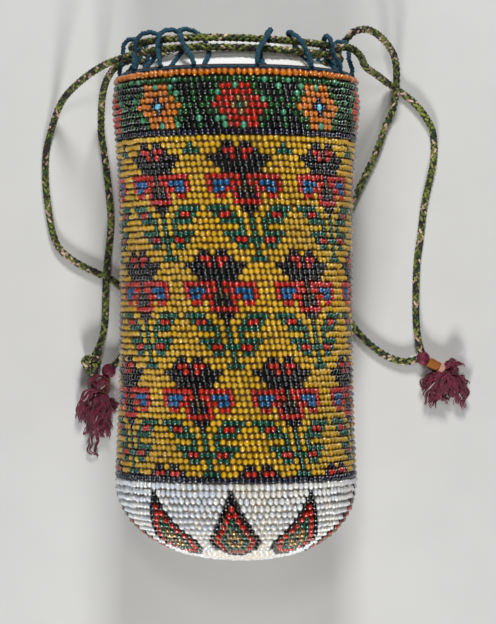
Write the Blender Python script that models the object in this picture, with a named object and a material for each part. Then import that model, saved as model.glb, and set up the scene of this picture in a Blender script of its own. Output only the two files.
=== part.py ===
"""Beaded medicine bag: a round bead-crochet pouch lying on its back, with two braided drawstrings.

Metres, +Z up. The bag's axis runs along Y, with the mouth towards +Y and the domed base
towards -Y. The origin is under the middle of the bag, on the surface that it lies on.
"""

import math

import bmesh
import bpy
from mathutils import Vector

# Clearance between touching pieces
GAP = 0.0003

# Beaded wall: lengths along the axis
DOME_DEPTH = 0.0277
BODY_LENGTH = 0.1106
BAND_LENGTH = 0.0189

# Beaded wall: outer radius at the base seam, and how far the wall draws in or swells above it
BAG_RADIUS = 0.0403
LOWER_INSET = 0.0011
WAIST_INSET = 0.0015
SHOULDER_INSET = 0.0008
BAND_FOOT_INSET = 0.0001
BAND_SWELL = 0.0010
BAND_TOP_SWELL = 0.0003
LOWER_SHARE = 0.23
WAIST_SHARE = 0.68
SHOULDER_SHARE = 0.91
BAND_BULGE_SHARE = 0.62

# Beaded wall: section and surface
WALL = 0.0022
DOME_POWER = 2.3
DOME_LEAN = 0.0020
REST_SAG = 0.0014
DOME_INNER_SHARES = (0.86, 0.5)
RELIEF = 0.00035
ROUND_GROOVE = 0.0010

# Bead rounds, counted in beads and rounds
BODY_STITCHES = 128
BODY_ROUNDS = 54
MOTIF_STITCHES = 16
MOTIF_ROUNDS = 17
MOTIF_START = 1
STARS = 9
STAR_STITCHES = 14
STAR_ROUNDS = 7
BAND_STITCHES = STARS * STAR_STITCHES
PETALS = 9
PETAL_ROUNDS = 13
PETAL_WIDEST = 9
PETAL_LAYERS = ("black", "red", "leaf", "tan", "navy")
DOME_ROUNDS = 23
LEAN_PER_ROUND = 0.23
MOTIF_TURN = math.radians(-0.6)
STAR_TURN = math.radians(1.9)
PETAL_TURN = math.radians(-2.0)

# Rim beads and the crocheted edge on them
RIM_BEAD = 0.0024
RIM_BEADS = 104
RIM_SET_IN = 0.0011
EDGE_THREAD = 0.0011
EDGE_SET_IN = 0.0009

# Crocheted loops round the mouth: angle, sideways lean and half opening of each
LOOP_THREAD = 0.0018
LOOP_FOOT_SPREAD = 0.0012
LOOP_INNER_FOOT = 0.0018
MM = 0.001
LOOPS = (
    (-56.0, 0.8, 2.8),
    (-36.5, -0.2, 2.6),
    (-18.0, -3.2, 2.6),
    (12.4, 2.0, 0.4),
    (41.0, -3.6, 0.6),
    (64.0, -1.8, 2.8),
    (90.0, 0.6, 1.0),
    (116.0, -1.0, 1.8),
    (142.0, 0.8, 2.4),
    (168.0, -0.6, 1.4),
    (194.0, 1.0, 2.2),
    (220.0, -1.2, 1.2),
    (247.0, 0.6, 1.6),
    (274.0, -0.8, 1.4),
)

# Drawstrings
CORD = 0.0028
CORD_STEP = 2 * CORD
LOOP_PLAY = 0.0006
MOUTH_RISE = 0.00925
DROOP = 0.0011
DROOP_TURN = math.radians(50)
LEFT_FRONT_EXIT = math.radians(-62)
LEFT_BACK_EXIT = math.radians(253)
RIGHT_FRONT_EXIT = math.radians(70)
RIGHT_BACK_EXIT = math.radians(-251)

# Cotton lining
LINING = 0.0008
COLLAR_RISE = 0.0108
COLLAR_HALF_ARCH = math.radians(64)
COLLAR_LEAN = 0.0096

# Free strands of the drawstrings, from the mouth to their ends
LEFT_OUTER_ROUTE = (
    (-0.0363, 0.0795, 0.0440),
    (-0.0431, 0.0779, 0.0370),
    (-0.0503, 0.0748, 0.0270),
    (-0.0574, 0.0703, 0.0150),
    (-0.0616, 0.0656, 0.0060),
    (-0.0642, 0.0590, 0.0020),
    (-0.0661, 0.0517, 0.0016),
    (-0.0665, 0.0433, 0.0016),
    (-0.0661, 0.0367, 0.0016),
    (-0.0653, 0.0301, 0.0016),
    (-0.0632, 0.0203, 0.0016),
    (-0.0597, 0.0154, 0.0016),
    (-0.0545, 0.0118, 0.0016),
    (-0.0493, 0.0092, 0.0016),
    (-0.0427, 0.0060, 0.0016),
    (-0.0392, 0.0022, 0.0016),
    (-0.0378, -0.0035, 0.0016),
    (-0.0377, -0.0100, 0.0016),
    (-0.0386, -0.0165, 0.0016),
    (-0.0401, -0.0206, 0.0018),
)
LEFT_INNER_ROUTE = (
    (-0.0375, 0.0786, 0.0348),
    (-0.0413, 0.0764, 0.0322),
    (-0.0442, 0.0730, 0.0240),
    (-0.0459, 0.0692, 0.0140),
    (-0.0469, 0.0633, 0.0050),
    (-0.0470, 0.0565, 0.0018),
    (-0.0459, 0.0499, 0.0016),
    (-0.0451, 0.0433, 0.0016),
    (-0.0444, 0.0367, 0.0016),
    (-0.0437, 0.0290, 0.0016),
    (-0.0438, 0.0224, 0.0020),
    (-0.0444, 0.0161, 0.0038),
    (-0.0450, 0.0098, 0.0051),
    (-0.0453, 0.0040, 0.0048),
    (-0.0455, -0.0020, 0.0029),
    (-0.0458, -0.0080, 0.0017),
    (-0.0463, -0.0130, 0.0022),
)
RIGHT_OUTER_ROUTE = (
    (0.0369, 0.0825, 0.0455),
    (0.0411, 0.0810, 0.0380),
    (0.0437, 0.0780, 0.0270),
    (0.0486, 0.0761, 0.0150),
    (0.0520, 0.0748, 0.0050),
    (0.0550, 0.0732, 0.0018),
    (0.0590, 0.0704, 0.0016),
    (0.0625, 0.0673, 0.0016),
    (0.0655, 0.0635, 0.0016),
    (0.0681, 0.0586, 0.0016),
    (0.0688, 0.0515, 0.0016),
    (0.0683, 0.0460, 0.0016),
    (0.0668, 0.0395, 0.0016),
    (0.0651, 0.0311, 0.0016),
    (0.0640, 0.0210, 0.0016),
    (0.0629, 0.0137, 0.0016),
    (0.0625, 0.0057, 0.0016),
    (0.0624, -0.0040, 0.0016),
    (0.0628, -0.0120, 0.0020),
)
RIGHT_INNER_ROUTE = (
    (0.0358, 0.0851, 0.0322),
    (0.0386, 0.0884, 0.0338),
    (0.0421, 0.0900, 0.0322),
    (0.0460, 0.0898, 0.0280),
    (0.0496, 0.0881, 0.0220),
    (0.0525, 0.0855, 0.0165),
    (0.0544, 0.0826, 0.0120),
    (0.0552, 0.0788, 0.0088),
    (0.0553, 0.0745, 0.0068),
    (0.0551, 0.0705, 0.0056),
    (0.0544, 0.0665, 0.0032),
    (0.0535, 0.0632, 0.0016),
    (0.0510, 0.0579, 0.0016),
    (0.0493, 0.0524, 0.0016),
    (0.0468, 0.0468, 0.0016),
    (0.0437, 0.0405, 0.0016),
    (0.0409, 0.0346, 0.0016),
    (0.0385, 0.0287, 0.0016),
    (0.0364, 0.0221, 0.0016),
    (0.0350, 0.0144, 0.0016),
    (0.0347, 0.0064, 0.0016),
    (0.0357, -0.0006, 0.0016),
    (0.0385, -0.0061, 0.0016),
    (0.0413, -0.0107, 0.0016),
    (0.0451, -0.0148, 0.0016),
    (0.0493, -0.0183, 0.0016),
    (0.0538, -0.0208, 0.0016),
    (0.0584, -0.0220, 0.0018),
)

# What hangs on the drawstrings' ends
KNOT_PLACE = (-0.0504, -0.0228, 0.0033)
KNOT_RADII = (0.0035, 0.0041, 0.0033)
KNOT_LUMPS = 0.08
BALL_LUMPS = 0.04
LEFT_BALL_PLACE = (-0.0444, -0.0252, 0.0026)
LEFT_BALL_RADIUS = 0.0024
LEFT_NECK_RADIUS = 0.0013
LEFT_NECK_LENGTH = 0.0056
LEFT_NECK_TURN = math.radians(-104)
RIGHT_BALL_PLACE = (0.0648, -0.0208, 0.0026)
RIGHT_BALL_RADIUS = 0.0024
RIGHT_NECK_RADIUS = 0.0018
RIGHT_NECK_LENGTH = 0.0040
RIGHT_NECK_TURN = math.radians(-30)
TIE_RADIUS = 0.0022
TIE_LENGTH = 0.0017
TASSEL_FLUTES = 9
TASSEL_FLUTE_DEPTH = 0.2
# Each station: distance along the tassel, half width, half height, sideways shift
LEFT_TASSEL = (
    (0.0000, 0.0016, 0.0014, 0.0000),
    (0.0018, 0.0046, 0.0028, 0.0010),
    (0.0060, 0.0060, 0.0034, 0.0012),
    (0.0105, 0.0052, 0.0032, 0.0012),
    (0.0150, 0.0032, 0.0024, 0.0014),
    (0.0180, 0.0012, 0.0012, 0.0010),
    (0.0228, 0.0005, 0.0006, 0.0006),
)
RIGHT_TASSEL = (
    (0.0000, 0.0021, 0.0020, 0.0000),
    (0.0024, 0.0060, 0.0034, -0.0006),
    (0.0066, 0.0075, 0.0038, -0.0004),
    (0.0110, 0.0072, 0.0034, 0.0004),
    (0.0145, 0.0066, 0.0026, 0.0006),
    (0.0163, 0.0056, 0.0012, 0.0006),
)
RIGHT_TASSEL_TURN = math.radians(-84)

# Places that follow from the sizes above
LOOP_HALF = CORD / 2 + LOOP_THREAD / 2 + LOOP_PLAY
BAG_LENGTH = (
    DOME_DEPTH
    + BODY_LENGTH
    + BAND_LENGTH
    + 2 * GAP
    + RIM_BEAD
    + EDGE_THREAD / 2
    + MOUTH_RISE
    + LOOP_HALF
    + LOOP_THREAD / 2
)
TIP_Y = -BAG_LENGTH / 2
SEAM_Y = TIP_Y + DOME_DEPTH
BAND_Y = SEAM_Y + BODY_LENGTH
BULGE_Y = BAND_Y + BAND_BULGE_SHARE * BAND_LENGTH
BAND_TOP_Y = BAND_Y + BAND_LENGTH
RIM_Y = BAND_TOP_Y + GAP + RIM_BEAD / 2
EDGE_Y = RIM_Y + RIM_BEAD / 2 + GAP + EDGE_THREAD / 2
AXIS_HEIGHT = BAG_RADIUS - WAIST_INSET - REST_SAG
BAND_TOP_RADIUS = BAG_RADIUS + BAND_TOP_SWELL
RIM_RADIUS = BAND_TOP_RADIUS - RIM_SET_IN
EDGE_RADIUS = RIM_RADIUS - EDGE_SET_IN
LOOP_INNER_RADIUS = EDGE_RADIUS - LOOP_INNER_FOOT
MOUTH_SKIN = EDGE_RADIUS + LOOP_THREAD / 2 + GAP
CORD_RADIUS = EDGE_RADIUS - LOOP_THREAD / 2 - LOOP_HALF - GAP / 2
UPPER_CORD_Y = EDGE_Y + MOUTH_RISE
LOWER_CORD_Y = UPPER_CORD_Y - CORD - GAP

BEAD_COLOURS = {
    "gold": (198, 150, 30),
    "black": (12, 10, 12),
    "navy": (15, 18, 60),
    "red": (205, 45, 35),
    "blue": (20, 95, 160),
    "leaf": (10, 100, 75),
    "grass": (30, 105, 45),
    "orange": (215, 125, 30),
    "sky": (90, 190, 225),
    "bronze": (75, 60, 30),
    "tan": (175, 135, 70),
    "white": (215, 220, 225),
}

# Flower: each bar is a colour, its first and last round, the stitch where it begins at
# those rounds and the stitch where it ends there, counted from the flower's middle
FLOWER_BARS = (
    ("black", 0, 0, 1, 1, 2, 2),
    ("black", 1, 1, 0, 0, 3, 3),
    ("black", 2, 4, 0, 0, 5, 3),
    ("red", 1, 2, 1, 1, 2, 1),
    ("red", 5, 5, 1, 1, 6, 6),
    ("black", 5, 5, 0, 0, 0, 0),
    ("red", 6, 7, 1, 2, 6, 6),
    ("blue", 6, 7, 3, 4, 5, 5),
    ("bronze", 6, 7, 0, 0, 0, 1),
    ("red", 8, 8, 2, 2, 5, 5),
    ("gold", 8, 8, 3, 3, 3, 3),
    ("navy", 8, 8, 1, 1, 1, 1),
    ("bronze", 8, 8, 0, 0, 0, 0),
    ("red", 9, 9, 0, 0, 2, 2),
    ("leaf", 10, 10, 4, 4, 7, 7),
    ("black", 10, 11, 0, 0, 1, 0),
    ("leaf", 11, 11, 3, 3, 6, 6),
    ("red", 11, 11, 4, 4, 5, 5),
    ("leaf", 12, 18, 0, 0, 0, 0),
    ("leaf", 12, 12, 2, 2, 5, 5),
    ("leaf", 13, 13, 2, 2, 2, 2),
    ("leaf", 14, 14, 2, 2, 5, 5),
    ("leaf", 15, 15, 0, 0, 4, 4),
    ("red", 15, 15, 2, 2, 3, 3),
    ("leaf", 16, 16, 2, 2, 3, 3),
    ("leaf", 18, 18, 0, 0, 1, 1),
)
STAR_HALF_WIDTHS = (2, 2, 3, 4, 3, 2, 2)


def clear_scene():
    for thing in list(bpy.data.objects):
        bpy.data.objects.remove(thing, do_unlink=True)


def linear(level):
    level /= 255
    return level / 12.92 if level <= 0.04045 else ((level + 0.055) / 1.055) ** 2.4


def material(name, colour, roughness=0.3, metallic=0.0):
    """A Principled material, made once for each name; colour is sRGB, 0 to 255."""
    made = bpy.data.materials.get(name)
    if made is None:
        made = bpy.data.materials.new(name)
        made.use_nodes = True
        shader = made.node_tree.nodes["Principled BSDF"]
        shader.inputs["Base Color"].default_value = (*map(linear, colour), 1)
        shader.inputs["Roughness"].default_value = roughness
        shader.inputs["Metallic"].default_value = metallic
        made.diffuse_color = (*map(linear, colour), 1)
    return made


def bead_material(colour_name):
    return material(f"{colour_name}_beads", BEAD_COLOURS[colour_name], roughness=0.25)


def add_mesh(name, bm, materials, parent, origin=(0, 0, 0), smooth=True):
    """Puts a bmesh in the scene as an object whose own origin is at the given place."""
    bmesh.ops.recalc_face_normals(bm, faces=bm.faces)
    bmesh.ops.translate(bm, verts=bm.verts, vec=-Vector(origin))
    mesh = bpy.data.meshes.new(name)
    bm.to_mesh(mesh)
    bm.free()
    for one in materials:
        mesh.materials.append(one)
    if smooth:
        mesh.shade_smooth()
        mesh.set_sharp_from_angle(angle=math.radians(40))
    thing = bpy.data.objects.new(name, mesh)
    thing.location = origin
    thing.parent = parent
    bpy.context.scene.collection.objects.link(thing)
    return thing


def around(turn, radius, y, depth):
    """A point at an angle round the bag's axis, no lower than its depth inside the skin."""
    height = max(AXIS_HEIGHT + radius * math.cos(turn), depth)
    return Vector((radius * math.sin(turn), y, height))


def smooth_through(stations, place):
    """Reads a smooth curve through (place, value) stations, flat beyond its ends."""
    if place <= stations[0][0]:
        return stations[0][1]
    if place >= stations[-1][0]:
        return stations[-1][1]
    last = max(i for i in range(len(stations) - 1) if stations[i][0] <= place)
    (p1, v1), (p2, v2) = stations[last], stations[last + 1]
    p0, v0 = stations[max(last - 1, 0)]
    p3, v3 = stations[min(last + 2, len(stations) - 1)]
    slope1 = (v2 - v0) / (p2 - p0)
    slope2 = (v3 - v1) / (p3 - p1)
    span = p2 - p1
    t = (place - p1) / span
    return (
        (2 * t**3 - 3 * t**2 + 1) * v1
        + (t**3 - 2 * t**2 + t) * span * slope1
        + (3 * t**2 - 2 * t**3) * v2
        + (t**3 - t**2) * span * slope2
    )


WALL_STATIONS = (
    (SEAM_Y, BAG_RADIUS),
    (SEAM_Y + LOWER_SHARE * BODY_LENGTH, BAG_RADIUS - LOWER_INSET),
    (SEAM_Y + WAIST_SHARE * BODY_LENGTH, BAG_RADIUS - WAIST_INSET),
    (SEAM_Y + SHOULDER_SHARE * BODY_LENGTH, BAG_RADIUS - SHOULDER_INSET),
    (BAND_Y, BAG_RADIUS - BAND_FOOT_INSET),
    (BULGE_Y, BAG_RADIUS + BAND_SWELL),
    (BAND_TOP_Y, BAND_TOP_RADIUS),
)

INNER_SHARES = (LOWER_SHARE, WAIST_SHARE, SHOULDER_SHARE)
INNER_LEVELS = tuple(SEAM_Y + share * BODY_LENGTH for share in INNER_SHARES)


def skin_radius(y):
    """The beaded wall's outer radius at a place along the axis."""
    if y >= SEAM_Y:
        return smooth_through(WALL_STATIONS, y)
    along = min((SEAM_Y - y) / DOME_DEPTH, 1)
    return BAG_RADIUS * (1 - along**DOME_POWER) ** (1 / DOME_POWER)


def dome_shift(y):
    """How far the dome's middle leans sideways."""
    return DOME_LEAN * max(0, (SEAM_Y - y) / DOME_DEPTH) ** 2


def flower_colour(stitch, round_number):
    """The bead's colour at a stitch and round of the gold body."""
    for repeat in range(-1, 1 + BODY_ROUNDS // MOTIF_ROUNDS):
        down = round_number - MOTIF_START - repeat * MOTIF_ROUNDS
        if repeat < 0 and down < MOTIF_ROUNDS:
            continue
        drop = (repeat % 2) * MOTIF_STITCHES // 2
        across = (stitch - drop + MOTIF_STITCHES // 2) % MOTIF_STITCHES
        across = abs(across - MOTIF_STITCHES // 2)
        found = None
        for name, first, last, begin1, begin2, end1, end2 in FLOWER_BARS:
            if not first <= down <= last:
                continue
            t = (down - first) / max(last - first, 1)
            if begin1 + (begin2 - begin1) * t <= across <= end1 + (end2 - end1) * t:
                found = name
        if found:
            return found
    return "gold"


def star_colour(stitch, round_number):
    """The bead's colour at a stitch and round of the star band."""
    star = math.floor(stitch / STAR_STITCHES + 0.5)
    across = abs(stitch - star * STAR_STITCHES)
    down = round_number - 1
    if down < 0:
        return "grass"
    if down >= STAR_ROUNDS:
        return "navy"
    half = STAR_HALF_WIDTHS[down]
    ends = down in (0, STAR_ROUNDS - 1)
    red_star = ((star + STARS // 2) % STARS - STARS // 2) % 2 == 0
    if across <= half:
        from_middle = across + abs(down - STAR_ROUNDS // 2)
        if from_middle == 0:
            return "leaf" if red_star else "sky"
        if from_middle <= 1:
            return "tan" if red_star else "navy"
        if ends and across < 0.5:
            return "grass"
        return "red" if red_star else "orange"
    outline = across <= half + (1 if ends else 2)
    bar = across >= STAR_STITCHES / 2 and down != STAR_ROUNDS // 2
    return "grass" if outline or bar else "black"


def petal_colour(beads_across, round_number):
    """The bead's colour on the dome, by beads from a petal's middle and round from the seam.

    A petal is one bead wider each round, then closes, and its colours lie in layers.
    """
    if not 0.5 <= round_number <= PETAL_ROUNDS + 0.5:
        return "white"
    past = max(0, round_number - PETAL_WIDEST)
    half = (min(round_number, PETAL_WIDEST) - past - max(0, past - 2)) / 2
    inside = half - abs(beads_across)
    if inside <= 0:
        return "white"
    layer = math.ceil(min(inside, PETAL_ROUNDS + 1 - round_number)) - 1
    return PETAL_LAYERS[min(max(layer, 0), len(PETAL_LAYERS) - 1)]


def rounds_down(y):
    """How many rounds of beads lie between the seam and a place on the dome."""

    def arc(low):
        places = [SEAM_Y + (low - SEAM_Y) * i / 80 for i in range(81)]
        radii = [skin_radius(place) for place in places]
        return sum(
            math.hypot(places[i + 1] - places[i], radii[i + 1] - radii[i]) for i in range(80)
        )

    return DOME_ROUNDS * arc(y) / arc(TIP_Y)


def field_colour(beads, ground):
    """The colour that stands for a few beads; ground beads count for half."""
    return max(sorted(set(beads)), key=lambda one: beads.count(one) * (0.5 if one == ground else 1))


def inside_of_dome(inset):
    """(y, radius) rings of the dome drawn in by an inset, from the pole up."""
    rings = [(TIP_Y + inset, 0)]
    for share in DOME_INNER_SHARES:
        radius = skin_radius(SEAM_Y - DOME_DEPTH * share) - inset
        rings.append((SEAM_Y - (DOME_DEPTH - inset) * share, radius))
    return rings


def sunk(y, radius):
    """The foot of the groove between two ribs of beads, square to the skin."""
    if radius == 0:
        return y, radius
    if y >= SEAM_Y:
        return y, radius - ROUND_GROOVE
    nudge = 0.0002
    slope = (skin_radius(y + nudge) - skin_radius(y - nudge)) / (2 * nudge)
    size = math.hypot(1, slope)
    return y + ROUND_GROOVE * slope / size, radius - ROUND_GROOVE / size


def shell_of_rounds(name, outer, inner, columns, turns, colour_of, ground, parent):
    """A beaded shell: outer rings from the mouth side down, then inner rings back up.

    outer and inner hold (y, radius); a radius of 0 is the dome's pole. The rounds of beads
    stand out as ribs: every second outer ring is a rib's crest on the skin, and the rings
    between are sunk. colour_of(rib, column) names the colour of one field of a rib, and
    fields off the ground colour stand proud by the relief.
    """
    ribs = len(outer) // 2
    fields = [[colour_of(rib, column) for column in range(columns)] for rib in range(ribs)]
    names = [ground] + sorted({one for line in fields for one in line} - {ground})
    bm = bmesh.new()

    def proud(rib, column):
        return RELIEF * sum(fields[rib][side] != ground for side in (column - 1, column)) / 2

    def ring_of(y, radius, turn, depth=0.0, rib=None):
        if radius == 0:
            return [bm.verts.new((dome_shift(y), y, AXIS_HEIGHT))]
        made = []
        for column in range(columns):
            angle = turn + 2 * math.pi * column / columns
            lift = 0 if rib is None else proud(rib, column)
            point = around(angle, radius + lift, y, depth)
            point.x += dome_shift(y)
            made.append(bm.verts.new(point))
        return made

    rings = []
    for place, (y, radius) in enumerate(outer):
        turn = turns(place / 2)
        if place % 2:
            rings.append((turn, ring_of(y, radius, turn, rib=place // 2)))
        else:
            rings.append((turn, ring_of(*sunk(y, radius), turn)))
    for y, radius in inner:
        depth = max(0, skin_radius(y) - radius)
        rings.append((turns(ribs), ring_of(y, radius, turns(ribs), depth)))
    for place, (turn, ring) in enumerate(rings):
        turn_below, below = rings[(place + 1) % len(rings)]
        shift = round((turn - turn_below) * columns / (2 * math.pi))
        if len(ring) == 1 and len(below) == 1:
            continue
        for column in range(columns):
            corners = [ring[column % len(ring)], ring[(column + 1) % len(ring)]]
            corners.append(below[(column + shift + 1) % columns % len(below)])
            corners.append(below[(column + shift) % columns % len(below)])
            face = bm.faces.new(dict.fromkeys(corners))
            if place < 2 * ribs:
                face.material_index = names.index(fields[place // 2][column])
    origin = (0, outer[-1][0], AXIS_HEIGHT)
    return add_mesh(name, bm, [bead_material(one) for one in names], parent, origin, smooth=False)


def make_star_band(parent):
    rounds = STAR_ROUNDS + 2
    columns = BAND_STITCHES // 2
    pitch = BAND_LENGTH / rounds
    per_stitch = 2 * math.pi / BAND_STITCHES

    def turns(ring):
        leaning = LEAN_PER_ROUND * (ring - rounds / 2)
        return STAR_TURN + per_stitch * (leaning - 1)

    levels = [BAND_TOP_Y - i * pitch / 2 for i in range(2 * rounds)] + [BAND_Y + GAP]
    outer = [(y, skin_radius(y)) for y in levels]
    inner = [(BAND_Y + GAP, skin_radius(BAND_Y) - WALL), (BULGE_Y, skin_radius(BULGE_Y) - WALL)]
    inner.append((BAND_TOP_Y, BAND_TOP_RADIUS - WALL))
    return shell_of_rounds(
        "star_band",
        outer,
        inner,
        columns,
        turns,
        lambda row, column: star_colour(2 * column, row),
        "black",
        parent,
    )


def make_flower_body(parent):
    columns = BODY_STITCHES // 2
    rows = BODY_ROUNDS // 2
    pitch = BODY_LENGTH / (BODY_ROUNDS + 1)
    per_stitch = 2 * math.pi / BODY_STITCHES

    def turns(ring):
        leaning = LEAN_PER_ROUND * min(2 * ring, BODY_ROUNDS)
        return MOTIF_TURN + per_stitch * (leaning - 1)

    def field(row, column):
        if row == rows:
            return "navy"
        beads = []
        for down in (2 * row, 2 * row + 1):
            beads += [flower_colour(2 * column + side, down) for side in (-1, 0, 0, 1)]
        return field_colour(beads, "gold")

    levels = [BAND_Y - i * pitch for i in range(BODY_ROUNDS + 1)]
    levels += [SEAM_Y + pitch / 2, SEAM_Y + GAP]
    outer = [(y, skin_radius(y)) for y in levels]
    inner = [(y, skin_radius(y) - WALL) for y in (levels[-1], *INNER_LEVELS, levels[0])]
    return shell_of_rounds("flower_body", outer, inner, columns, turns, field, "gold", parent)


def make_petal_base(parent):
    per_sector = 7
    columns = per_sector * PETALS
    rows = 12
    cap_rows = 5
    petal_share = 0.62
    seam_beads = BAND_STITCHES / PETALS

    def level(row):
        """Rows are evenly spaced round the dome's curve, closer on the petals than on the cap."""
        share = min(row, rows) / rows * petal_share
        share += max(row - rows, 0) / cap_rows * (1 - petal_share)
        return SEAM_Y - DOME_DEPTH * math.sin(share * math.pi / 2)

    levels = [level(half / 2) for half in range(2 * (rows + cap_rows))]
    outer = [(y, skin_radius(y)) for y in levels] + [(TIP_Y, 0)]

    def field(row, column):
        middle = outer[2 * row + 1][0]
        round_number = rounds_down(middle) - 0.5
        beads = seam_beads * skin_radius(middle) / BAG_RADIUS
        across = ((column + per_sector // 2) % per_sector - per_sector // 2) / per_sector
        return petal_colour(across * beads, round_number)

    inner = inside_of_dome(WALL)
    inner.append((SEAM_Y, BAG_RADIUS - WALL))
    turn = PETAL_TURN - math.pi / columns
    return shell_of_rounds(
        "petal_base", outer, inner, columns, lambda ring: turn, field, "white", parent
    )


def collar_radius(y):
    """The collar leans in from the wall's own radius as it stands up out of the mouth."""
    wall_top = BAND_TOP_Y - EDGE_SET_IN
    risen = min((y - wall_top) / (RIM_Y + COLLAR_RISE - wall_top), 1)
    return skin_radius(wall_top) - COLLAR_LEAN * math.sin(risen * math.pi / 2)


def make_cotton_lining(parent):
    columns = 32
    collar_rings = 3

    def arch(turn):
        """The collar stands highest at the front and back and sinks to the rim at the sides."""
        off = min(abs(math.sin(turn)) / math.sin(COLLAR_HALF_ARCH), 1)
        return COLLAR_RISE * (1 - off**2)

    def surface(inset):
        """Rings from the pole to the collar's edge, drawn in by the inset."""
        inset += WALL + GAP
        levels = inside_of_dome(inset)
        for y in (SEAM_Y, *INNER_LEVELS, BAND_Y, BULGE_Y, BAND_TOP_Y - EDGE_SET_IN):
            levels.append((y, skin_radius(y) - inset))
        pole = levels[0][0]
        rings = [[Vector((dome_shift(pole), pole, AXIS_HEIGHT))]]
        for y, radius in levels[1:]:
            rings.append([spot(c, radius, y, radius + inset) for c in range(columns)])
        for step in range(1, collar_rings + 1):
            ring = []
            for c in range(columns):
                low = BAND_TOP_Y - EDGE_SET_IN
                high = RIM_Y + arch(2 * math.pi * c / columns)
                y = low + (high - low) * step / collar_rings
                ring.append(spot(c, collar_radius(y) - inset, y, BAND_TOP_RADIUS))
            rings.append(ring)
        return rings

    def spot(column, radius, y, skin):
        point = around(2 * math.pi * column / columns, radius, y, skin - radius + GAP)
        point.x += dome_shift(y)
        return point

    bm = bmesh.new()
    rings = surface(0) + surface(LINING)[::-1]
    rings = [[bm.verts.new(point) for point in ring] for ring in rings]
    for ring, above in zip(rings, rings[1:]):
        for c in range(columns):
            beside = (c + 1) % columns
            corners = [ring[c % len(ring)], ring[beside % len(ring)]]
            corners += [above[beside % len(above)], above[c % len(above)]]
            bm.faces.new(dict.fromkeys(corners))
    cotton = material("cotton", (235, 234, 228), roughness=0.9)
    return add_mesh("cotton_lining", bm, [cotton], parent, (0, RIM_Y, AXIS_HEIGHT))


def mouth_ring(name, radius, y, thick_at, around_steps, sides, skin_depth, paint, parent):
    """A ring round the mouth whose thickness may swell and shrink along its way."""
    bm = bmesh.new()
    rings = []
    for step in range(around_steps):
        turn = 2 * math.pi * step / around_steps
        thick = thick_at(step)
        ring = []
        for side in range(sides):
            across = 2 * math.pi * (side + 0.5) / sides
            out = thick * math.cos(across) / math.cos(math.pi / sides)
            up = thick * math.sin(across) / math.cos(math.pi / sides)
            centre = around(turn, radius, y, skin_depth)
            outward = Vector((math.sin(turn), 0, math.cos(turn)))
            ring.append(bm.verts.new(centre + outward * out + Vector((0, up, 0))))
        rings.append(ring)
    for step, ring in enumerate(rings):
        following = rings[(step + 1) % around_steps]
        for side in range(sides):
            beside = (side + 1) % sides
            bm.faces.new((ring[side], ring[beside], following[beside], following[side]))
    return add_mesh(name, bm, [paint], parent, (0, y, AXIS_HEIGHT))


def make_rim_beads(parent):
    """The rim's single round of larger beads, thick at each bead and thin between beads."""

    def thick_at(step):
        return RIM_BEAD * (0.46 if step % 2 == 0 else 0.3)

    paint = bead_material("orange")
    depth = RIM_BEAD / 2 + GAP
    return mouth_ring(
        "rim_beads", RIM_RADIUS, RIM_Y, thick_at, 2 * RIM_BEADS, 4, depth, paint, parent
    )


def make_thread_edge(parent):
    paint = material("teal_thread", (25, 80, 100), roughness=0.8)
    depth = MOUTH_SKIN - EDGE_RADIUS
    half = EDGE_THREAD * 0.46
    return mouth_ring(
        "thread_edge", EDGE_RADIUS, EDGE_Y, lambda step: half, 40, 4, depth, paint, parent
    )


def catmull(points, per_span=12):
    """A dense smooth line through the points."""
    points = [Vector(p) for p in points]
    ends = [2 * points[0] - points[1]] + points + [2 * points[-1] - points[-2]]
    line = []
    for p0, p1, p2, p3 in zip(ends, ends[1:], ends[2:], ends[3:]):
        for i in range(per_span):
            t = i / per_span
            line.append(
                0.5
                * (
                    2 * p1
                    + (p2 - p0) * t
                    + (2 * p0 - 5 * p1 + 4 * p2 - p3) * t**2
                    + (3 * p1 - p0 - 3 * p2 + p3) * t**3
                )
            )
    return line + [points[-1]]


def evenly(line, step):
    """The line read again at equal distances, close to the step."""
    lengths = [0]
    for a, b in zip(line, line[1:]):
        lengths.append(lengths[-1] + (b - a).length)
    count = max(2, round(lengths[-1] / step))
    spots = []
    place = 0
    for i in range(count + 1):
        goal = lengths[-1] * i / count
        while place < len(line) - 2 and lengths[place + 1] < goal:
            place += 1
        t = (goal - lengths[place]) / (lengths[place + 1] - lengths[place])
        spots.append(line[place].lerp(line[place + 1], t))
    return spots


def add_tube(name, points, thickness, bevel_resolution, paint, parent):
    """A round cord along the points, with closed ends."""
    curve = bpy.data.curves.new(name, "CURVE")
    curve.dimensions = "3D"
    curve.bevel_depth = thickness / 2
    curve.bevel_resolution = bevel_resolution
    curve.use_fill_caps = True
    spline = curve.splines.new("POLY")
    spline.points.add(len(points) - 1)
    origin = points[0]
    for spot, point in zip(spline.points, points):
        spot.co = (*(point - origin), 1)
    curve.materials.append(paint)
    thing = bpy.data.objects.new(name, curve)
    thing.location = origin
    thing.parent = parent
    bpy.context.scene.collection.objects.link(thing)
    return thing


def cord_height(turn, level):
    """The drawstrings hang a little lower towards the right front."""
    return level - DROOP * max(0, math.cos(turn - DROOP_TURN)) ** 2


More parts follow.
